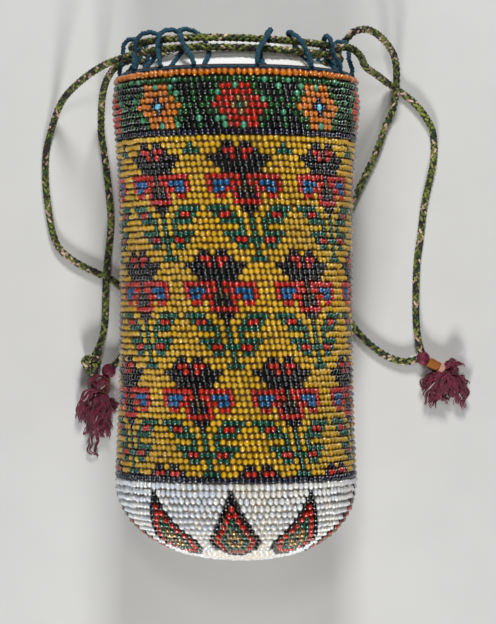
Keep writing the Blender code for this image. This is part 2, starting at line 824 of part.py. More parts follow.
def make_loops(parent):
    """Each loop rises outside both drawstrings, closes over them and returns inside them."""
    paint = material("teal_thread", (25, 80, 100), roughness=0.8)
    foot_y = EDGE_Y + EDGE_THREAD / 2 + GAP
    for number, (degrees, lean, opening) in enumerate(LOOPS, 1):
        middle = math.radians(degrees)
        high = cord_height(middle, UPPER_CORD_Y)
        low = cord_height(middle, LOWER_CORD_Y)
        lean *= MM
        opening *= MM

        def spot(aside, radius, y):
            tilt = lean * (max(y - foot_y, 0) / (high - foot_y)) ** 2
            turn = middle + (aside + tilt) / CORD_RADIUS
            return around(turn, radius, y, MOUTH_SKIN - radius)

        outside = CORD_RADIUS + LOOP_HALF
        inside = CORD_RADIUS - LOOP_HALF
        route = [
            spot(-LOOP_FOOT_SPREAD, EDGE_RADIUS, foot_y),
            spot(-LOOP_FOOT_SPREAD - 0.2 * opening, EDGE_RADIUS, foot_y + 0.3 * (low - foot_y)),
            spot(-LOOP_FOOT_SPREAD / 2 - opening, outside, low),
            spot(-opening, outside, high),
        ]
        for share in (0.25, 0.5, 0.75):
            over = math.pi * share
            out = CORD_RADIUS + LOOP_HALF * math.cos(over)
            route.append(spot(-opening * math.cos(over), out, high + LOOP_HALF * math.sin(over)))
        under = low - LOOP_HALF
        route += [
            spot(opening, inside, high),
            spot(opening, inside, low),
            spot(opening * 0.6 + LOOP_FOOT_SPREAD * 0.4, CORD_RADIUS - LOOP_HALF / 4, under),
            spot(LOOP_FOOT_SPREAD, LOOP_INNER_RADIUS, foot_y - GAP),
        ]
        points = evenly(catmull(route, 6), 1.35 * LOOP_THREAD)
        add_tube(f"loop_{number:02d}", points, LOOP_THREAD, 1, paint, parent)


def mouth_strand(level, start, end):
    """Points of a drawstring round the mouth, with its direction at both ends."""
    count = math.ceil(abs(end - start) * CORD_RADIUS / CORD_STEP)
    depth = MOUTH_SKIN - CORD_RADIUS
    points = []
    for i in range(count + 1):
        turn = start + (end - start) * i / count
        points.append(around(turn, CORD_RADIUS, cord_height(turn, level), depth))
    first = (points[0] - points[1]).normalized()
    last = (points[-1] - points[-2]).normalized()
    return points, first, last


def route_to(route, place, radius):
    """The route with one more point, where the strand meets a ball or knot."""
    place = Vector(place)
    back = (Vector(route[-1]) - place).normalized()
    return (*route, place + back * (radius + GAP))


def make_drawstrings(parent):
    paint = material("olive_cord", (125, 150, 40), roughness=0.85)
    left_ball = (LEFT_BALL_PLACE, LEFT_BALL_RADIUS * (1 + BALL_LUMPS))
    left_knot = (KNOT_PLACE, KNOT_RADII[1] * (1 + KNOT_LUMPS / 2))
    right_ball = (RIGHT_BALL_PLACE, RIGHT_BALL_RADIUS * (1 + BALL_LUMPS))
    left_outer = route_to(LEFT_OUTER_ROUTE, *left_ball)
    left_inner = route_to(LEFT_INNER_ROUTE, *left_knot)
    right_outer = route_to(RIGHT_OUTER_ROUTE, *right_ball)
    right_inner = route_to(RIGHT_INNER_ROUTE, *right_ball)
    strands = (
        ("left", LOWER_CORD_Y, LEFT_FRONT_EXIT, LEFT_BACK_EXIT, left_outer, left_inner),
        ("right", UPPER_CORD_Y, RIGHT_FRONT_EXIT, RIGHT_BACK_EXIT, right_outer, right_inner),
    )
    for side, level, front, back, outer_route, inner_route in strands:
        points, first, last = mouth_strand(level, front, back)
        add_tube(f"drawstring_{side}_mouth", points, CORD, 2, paint, parent)
        ends = (("outer", points[0], first, outer_route), ("inner", points[-1], last, inner_route))
        for which, leaves, way, route in ends:
            start = leaves + way * GAP
            line = catmull([start + way * CORD / 2, start + way * CORD, *route])
            spots = [start, *evenly(line, CORD_STEP)]
            add_tube(f"cord_{side}_{which}", spots, CORD, 2, paint, parent)


def add_ball(name, place, radii, lumps, paint, parent):
    """A small wound ball or knot; lumps is the height of its swellings as a share."""
    bm = bmesh.new()
    bmesh.ops.create_uvsphere(bm, u_segments=10, v_segments=7, radius=1)
    for vert in bm.verts:
        turn = math.atan2(vert.co.y, vert.co.x)
        swell = 1 + lumps * math.sin(3 * turn + 4 * vert.co.z)
        vert.co = Vector((vert.co.x * radii[0], vert.co.y * radii[1], vert.co.z * radii[2])) * swell
        vert.co += Vector(place)
        vert.co.z = max(vert.co.z, 0)
    return add_mesh(name, bm, [paint], parent, place)


def add_neck(name, start, way, length, radius, paint, parent):
    """A short wound barrel that begins at a place and points along a level direction."""
    bm = bmesh.new()
    middle = start + way * length / 2
    bmesh.ops.create_cone(
        bm, cap_ends=True, segments=10, radius1=radius, radius2=radius * 0.92, depth=length
    )
    turn = way.to_track_quat("Z", "Y").to_matrix()
    bmesh.ops.rotate(bm, verts=bm.verts, matrix=turn)
    bmesh.ops.translate(bm, verts=bm.verts, vec=middle)
    return add_mesh(name, bm, [paint], parent, middle)


def add_tassel(name, start, way, stations, paint, parent):
    """A fluted tuft of threads, lying on the surface and widening from its neck."""
    sides = 2 * TASSEL_FLUTES
    side_way = way.cross(Vector((0, 0, 1)))
    bm = bmesh.new()
    rings = []
    for along, half_width, half_height, shift in stations:
        centre = start + way * along + side_way * shift
        centre.z = max(half_height * 0.9, min(start.z, half_height * 1.3))
        ring = []
        for side in range(sides):
            turn = 2 * math.pi * side / sides
            flute = 1 + TASSEL_FLUTE_DEPTH * (1 if side % 2 else -1)
            across = side_way * half_width * math.cos(turn) * flute
            point = centre + across + Vector((0, 0, half_height * math.sin(turn) * flute))
            point.z = max(point.z, 0)
            ring.append(bm.verts.new(point))
        rings.append(ring)
    for ring, following in zip(rings, rings[1:]):
        for side in range(sides):
            beside = (side + 1) % sides
            bm.faces.new((ring[side], ring[beside], following[beside], following[side]))
    for ring in (rings[0], rings[-1]):
        bm.faces.new(ring)
    return add_mesh(name, bm, [paint], parent, start)


def make_ends(parent):
    olive = material("olive_cord", (125, 150, 40), roughness=0.85)
    magenta = material("magenta_thread", (150, 20, 75), roughness=0.8)
    ochre = material("ochre_thread", (160, 100, 40), roughness=0.7)
    pink = material("pink_thread", (215, 160, 140), roughness=0.8)
    add_ball("left_knot", KNOT_PLACE, KNOT_RADII, KNOT_LUMPS, olive, parent)

    ball = Vector(LEFT_BALL_PLACE)
    add_ball("left_ball", ball, (LEFT_BALL_RADIUS,) * 3, BALL_LUMPS, magenta, parent)
    way = Vector((math.cos(LEFT_NECK_TURN), math.sin(LEFT_NECK_TURN), 0))
    start = ball + way * (LEFT_BALL_RADIUS * (1 + BALL_LUMPS) + GAP)
    start.z = LEFT_NECK_RADIUS + GAP
    add_neck("left_neck", start, way, LEFT_NECK_LENGTH, LEFT_NECK_RADIUS, ochre, parent)
    end = start + way * (LEFT_NECK_LENGTH + GAP)
    add_tassel("left_tassel", end, Vector((0, -1, 0)), LEFT_TASSEL, magenta, parent)

    ball = Vector(RIGHT_BALL_PLACE)
    add_ball("right_ball", ball, (RIGHT_BALL_RADIUS,) * 3, BALL_LUMPS, magenta, parent)
    way = Vector((math.cos(RIGHT_NECK_TURN), math.sin(RIGHT_NECK_TURN), 0))
    start = ball + way * (RIGHT_BALL_RADIUS * (1 + BALL_LUMPS) + GAP)
    start.z = TIE_RADIUS + GAP
    add_neck("right_neck", start, way, RIGHT_NECK_LENGTH, RIGHT_NECK_RADIUS, ochre, parent)
    start = start + way * (RIGHT_NECK_LENGTH + GAP)
    add_neck("right_tie", start, way, TIE_LENGTH, TIE_RADIUS, pink, parent)
    end = start + way * (TIE_LENGTH + GAP + RIGHT_TASSEL[0][2])
    hang = Vector((math.cos(RIGHT_TASSEL_TURN), math.sin(RIGHT_TASSEL_TURN), 0))
    add_tassel("right_tassel", end, hang, RIGHT_TASSEL, magenta, parent)


def main():
    clear_scene()
    bag = bpy.data.objects.new("bag", None)
    bpy.context.scene.collection.objects.link(bag)
    make_star_band(bag)
    make_flower_body(bag)
    make_petal_base(bag)
    make_rim_beads(bag)
    make_thread_edge(bag)
    make_cotton_lining(bag)
    make_loops(bag)
    make_drawstrings(bag)
    make_ends(bag)


main()
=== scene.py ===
"""Finish of the beaded medicine bag: its beads, crochet thread, cotton, drawstrings and tassels.

Metres, +Z up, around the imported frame. The bag lies on its back with its axis along Y, the
mouth towards +Y and the domed base towards -Y.
"""

import math

import bpy
import numpy as np
from bpy.props import FloatProperty, FloatVectorProperty, IntProperty, PointerProperty
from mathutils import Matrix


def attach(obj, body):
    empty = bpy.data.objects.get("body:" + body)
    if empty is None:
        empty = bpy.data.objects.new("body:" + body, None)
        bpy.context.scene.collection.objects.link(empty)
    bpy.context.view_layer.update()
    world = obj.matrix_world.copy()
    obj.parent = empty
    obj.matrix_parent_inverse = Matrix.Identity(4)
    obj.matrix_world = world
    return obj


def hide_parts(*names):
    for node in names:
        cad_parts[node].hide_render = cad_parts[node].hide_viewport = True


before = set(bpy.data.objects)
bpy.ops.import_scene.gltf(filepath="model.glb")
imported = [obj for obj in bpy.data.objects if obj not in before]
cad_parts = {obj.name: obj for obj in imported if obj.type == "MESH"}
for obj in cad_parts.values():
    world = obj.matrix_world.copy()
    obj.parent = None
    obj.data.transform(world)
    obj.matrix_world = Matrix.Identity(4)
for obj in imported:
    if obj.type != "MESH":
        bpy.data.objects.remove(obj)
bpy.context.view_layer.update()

bl_info = {
    "name": "Beaded Bag Finish",
    "version": (1, 0, 0),
    "blender": (4, 5, 0),
    "location": "3D View > Sidebar > Beaded Bag",
    "description": "Dresses a drawstring bag in seed beads, crochet thread and braid",
    "category": "Object",
}

BODY = "root"
MM = 0.001
GAP = 0.0003


def in_metres(*points):
    """Points written in millimetres, in metres."""
    return [tuple(round(size * MM, 7) for size in point) for point in points]


# Beaded wall: lengths along the axis, outer radii and section
DOME_DEPTH = 0.0277
BODY_LENGTH = 0.1106
BAND_LENGTH = 0.0189
FOOT_RADIUS = 0.0403
WAIST_RADIUS = 0.0388
BAND_TOP_RADIUS = 0.0406
# Radii at shares of the body's length, and of the band's
BODY_RADII = ((0, FOOT_RADIUS), (0.23, 0.0392), (0.68, WAIST_RADIUS), (0.91, 0.0395))
BAND_RADII = ((0, 0.0402), (0.62, 0.0413), (1, BAND_TOP_RADIUS))
WALL = 0.0022
DOME_POWER = 2.3
DOME_LEAN = 0.0020
REST_SAG = 0.0014

# Bead chart, counted in beads and rounds
BODY_STITCHES = 128
BODY_ROUNDS = 54
BODY_ZONES = (("upper", 0, 18), ("middle", 18, 36), ("lower", 36, BODY_ROUNDS + 1))
MOTIF_STITCHES = 16
MOTIF_ROUNDS = 17
MOTIF_START = 1
STARS = 9
STAR_STITCHES = 14
STAR_ROUNDS = 7
BAND_STITCHES = STARS * STAR_STITCHES
PETALS = 9
PETAL_ROUNDS = 13
PETAL_WIDEST = 9
PETAL_LAYERS = ("black", "red", "leaf", "tan", "navy")
DOME_ROUNDS = 23
LEAN_PER_ROUND = 0.23
MOTIF_TURN = math.radians(-0.6)
STAR_TURN = math.radians(1.9)
PETAL_TURN = math.radians(-2.0)

# Beads and the thread between them
BEAD_SIDES = 6
BEAD_BELLY = 0.535
BEAD_SHOULDER = 0.37
BEAD_TILT = 0.26
BEAD_TILT_SPREAD = 0.12
BEAD_ROLL_SPREAD = 0.14
BEAD_SINK = 0.00004
DOME_BEAD_FAT = 1.24
PROFILE_NUDGE = 0.0004
THREAD_DEPTH = 0.0012
DOME_THREAD_DEPTH = 0.0015
# Each glass: spread of its tones, light left in its sides under their painted shade, metal in it, size
# beside the rest
PLAIN_GLASS = (0.22, 0.15, 0, 1)
GLASS = {
    "gold": (0.24, 0.4, 0, 1),
    "black": (0.5, 0.15, 0, 1),
    "blue": (0.22, 0.15, 0, 1.07),
    "jade": (0.15, 0.4, 0, 1.17),
    "orange": (0.12, 0.3, 0, 1.03),
    "sky": (0.1, 0.5, 0, 1.12),
    "bronze": (0.22, 0.15, 0.5, 1),
    "tan": (0.22, 0.15, 0.55, 1),
    "white": (0.22, 0.6, 0, 1.03),
}

# Mouth: rim beads, crocheted edge, loops and collar
RIM_BEAD = 0.0024
RIM_BEADS = 122
RIM_SET_IN = 0.0011
EDGE_THREAD = 0.0011
EDGE_SET_IN = 0.0009
EDGE_COIL = 0.00026
EDGE_STRAND = 0.00058
EDGE_LAY = 0.0034
LOOP_THREAD = 0.0018
LOOP_COIL = 0.00044
LOOP_STRAND = 0.00094
LOOP_LAY = 0.0030
LOOP_FOOT_SPREAD = 0.0012
LOOP_INNER_FOOT = 0.0018
LOOPS = (
    (-56.0, 0.8, 2.8), (-36.5, -0.2, 2.6), (-18.0, -3.2, 2.6), (12.4, 2.0, 0.4), (41.0, -3.6, 0.6),
    (64.0, -1.8, 2.8), (90.0, 0.6, 1.0), (116.0, -1.0, 1.8), (142.0, 0.8, 2.4), (168.0, -0.6, 1.4),
    (194.0, 1.0, 2.2), (220.0, -1.2, 1.2), (247.0, 0.6, 1.6), (274.0, -0.8, 1.4),
)
LINING = 0.0008
LINING_COLUMNS = 112
COLLAR_RISE = 0.0108
COLLAR_HALF_ARCH = math.radians(74)
COLLAR_LEAN = 0.0082
COLLAR_RIPPLES = ((0.00035, 11, 1.3), (0.00025, 29, 0))

# Drawstrings
CORD = 0.0028
CORD_STEP = 2 * CORD
STRAND_STEP = 0.0005
LOOP_PLAY = 0.0006
MOUTH_RISE = 0.00925
DROOP = 0.0011
DROOP_TURN = math.radians(50)
LEFT_OUTER_ROUTE = in_metres(
    (-36.3, 79.5, 44.0), (-43.1, 77.9, 37.0), (-50.3, 74.8, 27.0), (-57.4, 70.3, 15.0),
    (-61.6, 65.6, 6.0), (-64.2, 59.0, 2.0), (-66.1, 51.7, 1.6), (-66.5, 43.3, 1.6),
    (-66.1, 36.7, 1.6), (-65.3, 30.1, 1.6), (-63.2, 20.3, 1.6), (-59.7, 15.4, 1.6),
    (-54.5, 11.8, 1.6), (-49.3, 9.2, 1.6), (-42.7, 6.0, 1.6), (-39.2, 2.2, 1.6),
    (-37.8, -3.5, 1.6), (-37.7, -10.0, 1.6), (-38.6, -16.5, 1.6), (-40.1, -20.6, 1.8),
)
LEFT_INNER_ROUTE = in_metres(
    (-37.5, 78.6, 34.8), (-41.3, 76.4, 32.2), (-44.2, 73.0, 24.0), (-45.9, 69.2, 14.0),
    (-46.9, 63.3, 5.0), (-47.0, 56.5, 1.8), (-45.9, 49.9, 1.6), (-45.1, 43.3, 1.6),
    (-44.4, 36.7, 1.6), (-43.7, 29.0, 1.6), (-43.8, 22.4, 2.0), (-44.4, 16.1, 3.8),
    (-45.0, 9.8, 5.1), (-45.3, 4.0, 4.8), (-45.5, -2.0, 2.9), (-45.8, -8.0, 1.7),
    (-46.3, -13.0, 2.2),
)
RIGHT_OUTER_ROUTE = in_metres(
    (36.9, 82.5, 45.5), (41.1, 81.0, 38.0), (43.7, 78.0, 27.0), (48.6, 76.1, 15.0),
    (52.0, 74.8, 5.0), (55.0, 73.2, 1.8), (59.0, 70.4, 1.6), (62.5, 67.3, 1.6),
    (65.5, 63.5, 1.6), (68.1, 58.6, 1.6), (68.8, 51.5, 1.6), (68.3, 46.0, 1.6),
    (66.8, 39.5, 1.6), (65.1, 31.1, 1.6), (64.0, 21.0, 1.6), (62.9, 13.7, 1.6),
    (62.5, 5.7, 1.6), (62.4, -4.0, 1.6), (62.8, -12.0, 2.0),
)
RIGHT_INNER_ROUTE = in_metres(
    (35.8, 85.1, 32.2), (38.6, 88.4, 33.8), (42.1, 90.0, 32.2), (46.0, 89.8, 28.0),
    (49.6, 88.1, 22.0), (52.5, 85.5, 16.5), (54.4, 82.6, 12.0), (55.2, 78.8, 8.8),
    (55.3, 74.5, 6.8), (55.1, 70.5, 5.6), (54.4, 66.5, 3.2), (53.5, 63.2, 1.6),
    (51.0, 57.9, 1.6), (49.3, 52.4, 1.6), (46.8, 46.8, 1.6), (43.7, 40.5, 1.6),
    (40.9, 34.6, 1.6), (38.5, 28.7, 1.6), (36.4, 22.1, 1.6), (35.0, 14.4, 1.6),
    (34.7, 6.4, 1.6), (35.7, -0.6, 1.6), (38.5, -6.1, 1.6), (41.3, -10.7, 1.6),
    (45.1, -14.8, 1.6), (49.3, -18.3, 1.6), (53.8, -20.8, 1.6), (58.4, -22.0, 1.8),
)

# What hangs on the drawstrings' ends
KNOT_PLACE = (-0.0504, -0.0228, 0.0033)
KNOT_RADII = (0.0035, 0.0041, 0.0033)
KNOT_REACH = KNOT_RADII[1] * 1.04
LEFT_BALL_PLACE = (-0.0444, -0.0252, 0.0026)
LEFT_NECK_RADIUS = 0.0013
LEFT_NECK_LENGTH = 0.0056
LEFT_NECK_TURN = math.radians(-104)
RIGHT_BALL_PLACE = (0.0648, -0.0208, 0.0026)
BALL_RADIUS = 0.0024
BALL_REACH = BALL_RADIUS * 1.04
RIGHT_NECK_RADIUS = 0.0018
RIGHT_NECK_LENGTH = 0.0040
RIGHT_NECK_TURN = math.radians(-30)
TIE_RADIUS = 0.0022
TIE_LENGTH = 0.0017
TUCK = 0.0012
WINDING = 0.0003
WINDINGS = 26
NECK_THREAD = 0.0006
LOCK_THREADS = 6
LOCK_SWAY = 1.3 * MM
LOCK_LIFT = 0.8 * MM
LOCK_CURL = 0.45 * MM
THREAD_SWAY = 0.35 * MM
FLOSS_STEP = 0.8 * MM
CREAM_SHARE = 0.03
# Each tuft: number of threads, half width at its root and at its tip, and the three points
# that it bends through, all in millimetres
LEFT_TUFTS = (
    (64, 1.2, 1.8, (-45.2, -27.6, 4.2), (-47.8, -29.6, 4.6), (-49.6, -32.8, 2.4)),
    (120, 1.5, 2.8, (-46.4, -33.6, 2.6), (-49.0, -40.6, 4.2), (-50.2, -48.2, 1.6)),
    (120, 1.5, 2.6, (-46.2, -33.6, 2.6), (-45.4, -40.6, 4.2), (-47.2, -49.2, 1.4)),
    (40, 0.8, 1.2, (-45.4, -35.2, 2.0), (-43.8, -37.2, 2.4), (-42.4, -41.0, 1.2)),
    (96, 1.6, 2.4, (-47.6, -32.6, 2.6), (-52.8, -35.6, 4.0), (-52.0, -43.6, 1.8)),
    (14, 0.8, 0.3, (-48.9, -47.2, 1.2), (-49.2, -52.0, 0.8), (-47.9, -56.6, 0.5)),
)
RIGHT_TUFTS = (
    (84, 1.3, 2.1, (72.6, -25.8, 2.8), (68.8, -31.0, 4.0), (66.2, -39.2, 1.6)),
    (84, 1.3, 2.3, (72.9, -25.8, 2.8), (71.0, -31.4, 5.0), (71.0, -36.4, 2.0)),
    (84, 1.3, 2.1, (73.2, -25.8, 2.8), (74.6, -31.2, 4.8), (74.9, -37.2, 1.8)),
    (80, 1.3, 1.9, (73.6, -25.8, 2.8), (78.4, -30.8, 3.8), (77.2, -38.6, 1.4)),
    (72, 1.1, 1.7, (72.6, -24.8, 3.0), (75.0, -21.6, 3.6), (77.6, -25.6, 2.0)),
    (18, 0.6, 0.7, (76.4, -27.0, 2.6), (79.8, -27.4, 2.0), (78.6, -31.8, 1.2)),
    (60, 1.3, 1.7, (72.2, -26.0, 2.8), (66.8, -27.6, 3.4), (65.6, -33.2, 1.6)),
)

# Places that follow from the sizes above
LOOP_HALF = CORD / 2 + LOOP_THREAD / 2 + LOOP_PLAY
BAG_LENGTH = (
    DOME_DEPTH
    + BODY_LENGTH
    + BAND_LENGTH
    + 2 * GAP
    + RIM_BEAD
    + EDGE_THREAD / 2
    + MOUTH_RISE
    + LOOP_HALF
    + LOOP_THREAD / 2
)
TIP_Y = -BAG_LENGTH / 2
SEAM_Y = TIP_Y + DOME_DEPTH
BAND_Y = SEAM_Y + BODY_LENGTH
BAND_TOP_Y = BAND_Y + BAND_LENGTH
RIM_Y = BAND_TOP_Y + GAP + RIM_BEAD / 2
EDGE_Y = RIM_Y + RIM_BEAD / 2 + GAP + EDGE_THREAD / 2
AXIS_HEIGHT = WAIST_RADIUS - REST_SAG
RIM_RADIUS = BAND_TOP_RADIUS - RIM_SET_IN
EDGE_RADIUS = RIM_RADIUS - EDGE_SET_IN
LOOP_INNER_RADIUS = EDGE_RADIUS - LOOP_INNER_FOOT
MOUTH_SKIN = EDGE_RADIUS + LOOP_THREAD / 2 + GAP
CORD_RADIUS = EDGE_RADIUS - LOOP_THREAD / 2 - LOOP_HALF - GAP / 2
UPPER_CORD_Y = EDGE_Y + MOUTH_RISE
LOWER_CORD_Y = UPPER_CORD_Y - CORD - GAP

# Flower: each bar is a colour, its first and last round, the stitch where it begins at
# those rounds and the stitch where it ends there, counted from the flower's middle
FLOWER_BARS = (
    ("black", 0, 0, 1, 1, 2, 2), ("black", 1, 1, 0, 0, 3, 3), ("black", 2, 4, 0, 0, 5, 3),
    ("red", 1, 2, 1, 1, 2, 1), ("red", 5, 5, 1, 1, 6, 6), ("black", 5, 5, 0, 0, 0, 0),
    ("red", 6, 7, 1, 2, 6, 6), ("blue", 6, 7, 3, 4, 5, 5), ("bronze", 6, 7, 0, 0, 0, 1),
    ("red", 8, 8, 2, 2, 5, 5), ("gold", 8, 8, 3, 3, 3, 3), ("navy", 8, 8, 1, 1, 1, 1),
    ("bronze", 8, 8, 0, 0, 0, 0), ("red", 9, 9, 0, 0, 2, 2), ("leaf", 10, 10, 4, 4, 7, 7),
    ("black", 10, 11, 0, 0, 1, 0), ("leaf", 11, 11, 3, 3, 6, 6), ("red", 11, 11, 4, 4, 5, 5),
    ("leaf", 12, 18, 0, 0, 0, 0), ("leaf", 12, 12, 2, 2, 5, 5), ("leaf", 13, 13, 2, 2, 2, 2),
    ("leaf", 14, 14, 2, 2, 5, 5), ("leaf", 15, 15, 0, 0, 4, 4), ("red", 15, 15, 2, 2, 3, 3),
    ("leaf", 16, 16, 2, 2, 3, 3), ("leaf", 18, 18, 0, 0, 1, 1),
)
STAR_HALF_WIDTHS = (2, 2, 3, 4, 3, 2, 2)
# How much of the ground's own colour the thread keeps under beads of a colour; the rest is painted shade,
# darkest under opaque beads
THREAD_LIGHT_UNDER_BEADS = {"black": 0, "navy": 0, "bronze": 0.1, "grass": 0.15, "leaf": 0.2}
THREAD_LIGHT_UNDER_BEADS.update({"orange": 0.9, "gold": 1, "white": 1})
WALL_STATIONS = [
    (start + share * length, radius)
    for start, length, radii in ((SEAM_Y, BODY_LENGTH, BODY_RADII), (BAND_Y, BAND_LENGTH, BAND_RADII))
    for share, radius in radii
]
# Each drawstring: its height round the mouth, and the angles where its strands leave
STRANDS = {
    "left": (LOWER_CORD_Y, math.radians(-62), math.radians(253)),
    "right": (UPPER_CORD_Y, math.radians(70), math.radians(-251)),
}
# Each free strand: its drawstring, the end that it leaves, its route, and the place and radius
# of what it runs into
FREE_STRANDS = {
    "cord_left_outer": ("left", 0, LEFT_OUTER_ROUTE, LEFT_BALL_PLACE, BALL_REACH),
    "cord_left_inner": ("left", 1, LEFT_INNER_ROUTE, KNOT_PLACE, KNOT_REACH),
    "cord_right_outer": ("right", 0, RIGHT_OUTER_ROUTE, RIGHT_BALL_PLACE, BALL_REACH),
    "cord_right_inner": ("right", 1, RIGHT_INNER_ROUTE, RIGHT_BALL_PLACE, BALL_REACH),
}


def linear(colour):
    """An sRGB colour, 0 to 255, as the linear values that Blender works in."""
    level = np.asarray(colour, float) / 255
    return tuple(np.where(level <= 0.04045, level / 12.92, ((level + 0.055) / 1.055) ** 2.4))


def colour_setting(name, what, colour):
    return FloatVectorProperty(
        name=name, description=what, default=linear(colour), min=0, max=1, subtype="COLOR"
    )


def length_setting(name, what, size, most):
    return FloatProperty(
        name=name, description=what, default=size, min=0, max=most, precision=5, unit="LENGTH"
    )


def share_setting(name, what, share):
    return FloatProperty(name=name, description=what, default=share, min=0, max=1, subtype="FACTOR")


class BeadColours(bpy.types.PropertyGroup):
    """Colours of the glass beads"""

    gold: colour_setting("Gold", "Lined gold beads of the body's ground", (212, 164, 14))
    black: colour_setting("Black", "Opaque black beads", (3, 3, 4))
    navy: colour_setting("Navy", "Dark blue beads of the dividing rounds", (4, 6, 40))
    red: colour_setting("Red", "Red beads", (196, 32, 10))
    blue: colour_setting("Blue", "Blue beads of the flowers' wings", (8, 84, 132))
    leaf: colour_setting("Leaf green", "Green beads of stems and leaves", (6, 84, 60))
    grass: colour_setting("Grass green", "Green beads of the star band", (16, 82, 24))
    jade: colour_setting("Jade", "Pale green beads mixed into the grass green", (66, 146, 106))
    orange: colour_setting("Orange", "Beads of the rim and the orange stars", (214, 116, 10))
    sky: colour_setting("Sky blue", "Middle beads of the orange stars", (100, 196, 230))
    bronze: colour_setting("Bronze", "Dull metallic beads of the flowers' hearts", (74, 58, 28))
    tan: colour_setting("Tan", "Metallic gold beads of petals and red stars", (176, 136, 72))
    white: colour_setting("White", "Opal beads of the domed base", (228, 229, 229))
    opal: colour_setting("Opal", "The bluest of the opal beads", (214, 221, 231))
    cream: colour_setting("Cream", "The warmest of the opal beads", (235, 231, 221))


class BeadSizes(bpy.types.PropertyGroup):
    """Sizes of the glass beads and how evenly they sit"""

    width: length_setting("Bead width", "Across a bead, square to its hole", 0.00204, 0.004)
    length: length_setting("Bead length", "Along a bead's hole", 0.00180, 0.004)
    hole: share_setting("Hole", "Width of the hole as a share of the bead's width", 0.3)
    uneven: share_setting("Unevenness", "Spread of the beads' sizes as a share", 0.075)
    play: length_setting("Play", "How far a bead may sit off its place", 0.00009, 0.001)
    jade_share: share_setting("Jade share", "Share of jade among the grass green beads", 0.17)


class ThreadLooks(bpy.types.PropertyGroup):
    """Threads, cotton and floss"""

    ground: colour_setting("Ground thread", "Thread that the body's beads are worked on", (120, 84, 24))
    pale: colour_setting("Base thread", "Thread between the white beads", (226, 208, 176))
    # Painted shade: the colour that the ground thread is darkened towards under opaque dark beads
    dark: colour_setting("Dark thread", "Thread under the dark beads", (4, 4, 4))
    teal: colour_setting("Teal thread", "Thread of the mouth's edge and loops", (5, 20, 28))
    pale_teal: colour_setting("Pale teal thread", "Lighter thread in the loops", (36, 88, 110))
    umber: colour_setting("Umber thread", "Thread between the rim's beads", (70, 34, 16))
    cotton: colour_setting("Cotton", "Cloth of the lining", (252, 252, 249))
    magenta: colour_setting("Magenta floss", "Threads of the balls and tassels", (124, 3, 54))
    ochre: colour_setting("Ochre thread", "Thread wound round the tassels' necks", (170, 112, 44))
    pink: colour_setting("Pink thread", "Thread that ties off the necks", (218, 164, 146))
    floss: length_setting("Floss", "Thickness of one thread of a tassel", 0.00042, 0.002)


class BraidLooks(bpy.types.PropertyGroup):
    """The drawstrings' round braid"""

    olive: colour_setting("Olive", "Main strands", (98, 110, 34))
    lime: colour_setting("Lime", "Bright strands", (142, 152, 62))
    green: colour_setting("Green", "Dark green strands", (42, 68, 32))
    brown: colour_setting("Brown", "Dark brown strands", (40, 26, 22))
    cream: colour_setting("Cream", "Pinkish cream flecks", (214, 184, 162))
    strands: IntProperty(
        name="Strand pairs", description="Strands that wind each way", default=4, min=3, max=8
    )
    lay: length_setting("Lay", "Length of one whole turn of a strand", 0.0084, 0.05)
    strand: length_setting("Strand", "Thickness of one strand", 0.00098, 0.003)


class StageLooks(bpy.types.PropertyGroup):
    """Floor, lamps and camera"""

    floor: colour_setting("Floor", "The pale floor", (214, 214, 212))
    camera_height: length_setting("Camera height", "Camera above the floor", 0.8374, 3)
    camera_x: length_setting("Camera X", "Camera across the bag", 0.0040, 1)
    camera_y: FloatProperty(
        name="Camera Y", description="Camera along the bag", default=-0.00475, unit="LENGTH"
    )
    lens: FloatProperty(
        name="Lens", description="Focal length", default=138.6, min=20, max=400, subtype="DISTANCE_CAMERA"
    )
    lamp_power: FloatProperty(
        name="Lamp power", description="Power of each main lamp", default=7.0, min=0, unit="POWER"
    )
    world_light: FloatProperty(
        name="World light", description="Strength of the light from all round", default=0.02, min=0
    )


def placed(name, data, location=(0, 0, 0)):
    """A new object at its place in the scene."""
    thing = bpy.data.objects.new(name, data)
    thing.location = location
    bpy.context.scene.collection.objects.link(thing)
    return thing


class Strip:
    """A mesh under way: points, faces and marks, gathered piece by piece."""

    def __init__(self):
        self.points = []
        self.corners = []
        self.totals = []
        self.paints = []
        self.marks = {"tone": [], "rise": []}
        self.count = 0

    def add(self, points, corners, totals, paint=0, tone=0.5, rise=1.0):
        """Adds a piece: paint is its material, tone a mark that materials read, and the last mark painted
        light and shade that materials read, 1 fully lit and 0 in the deepest painted shade.
        """
        self.points.append(points)
        self.corners.append(corners + self.count)
        self.totals.append(totals)
        self.paints.append(np.broadcast_to(paint, len(totals)))
        for name, mark in (("tone", tone), ("rise", rise)):
            self.marks[name].append(np.broadcast_to(mark, len(points)))
        self.count += len(points)

    def make(self, name, finishes, slot, *nodes):
        """The finished object, which rides on the bag in place of the nodes."""
        points = np.concatenate(self.points).astype(np.float32)
        corners = np.concatenate(self.corners).astype(np.int32)
        totals = np.concatenate(self.totals).astype(np.int32)
        mesh = bpy.data.meshes.new(name)
        mesh.vertices.add(len(points))
        mesh.vertices.foreach_set("co", points.ravel())
        mesh.loops.add(len(corners))
        mesh.loops.foreach_set("vertex_index", corners)
        mesh.polygons.add(len(totals))
        starts = np.concatenate(([0], np.cumsum(totals)[:-1])).astype(np.int32)
        mesh.polygons.foreach_set("loop_start", starts)
        for finish in finishes:
            mesh.materials.append(finish)
        mesh.polygons.foreach_set("material_index", np.concatenate(self.paints).astype(np.int32))
        mesh.polygons.foreach_set("use_smooth", np.ones(len(totals), bool))
        for mark, values in self.marks.items():
            layer = mesh.attributes.new(mark, "FLOAT", "POINT")
            layer.data.foreach_set("value", np.concatenate(values).astype(np.float32))
        mesh.update(calc_edges=True)
        thing = placed(name, mesh)
        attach(thing, BODY)
        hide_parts(*nodes)
        return thing


def unit(vectors):
    return vectors / np.maximum(np.linalg.norm(vectors, axis=-1, keepdims=True), 1e-12)


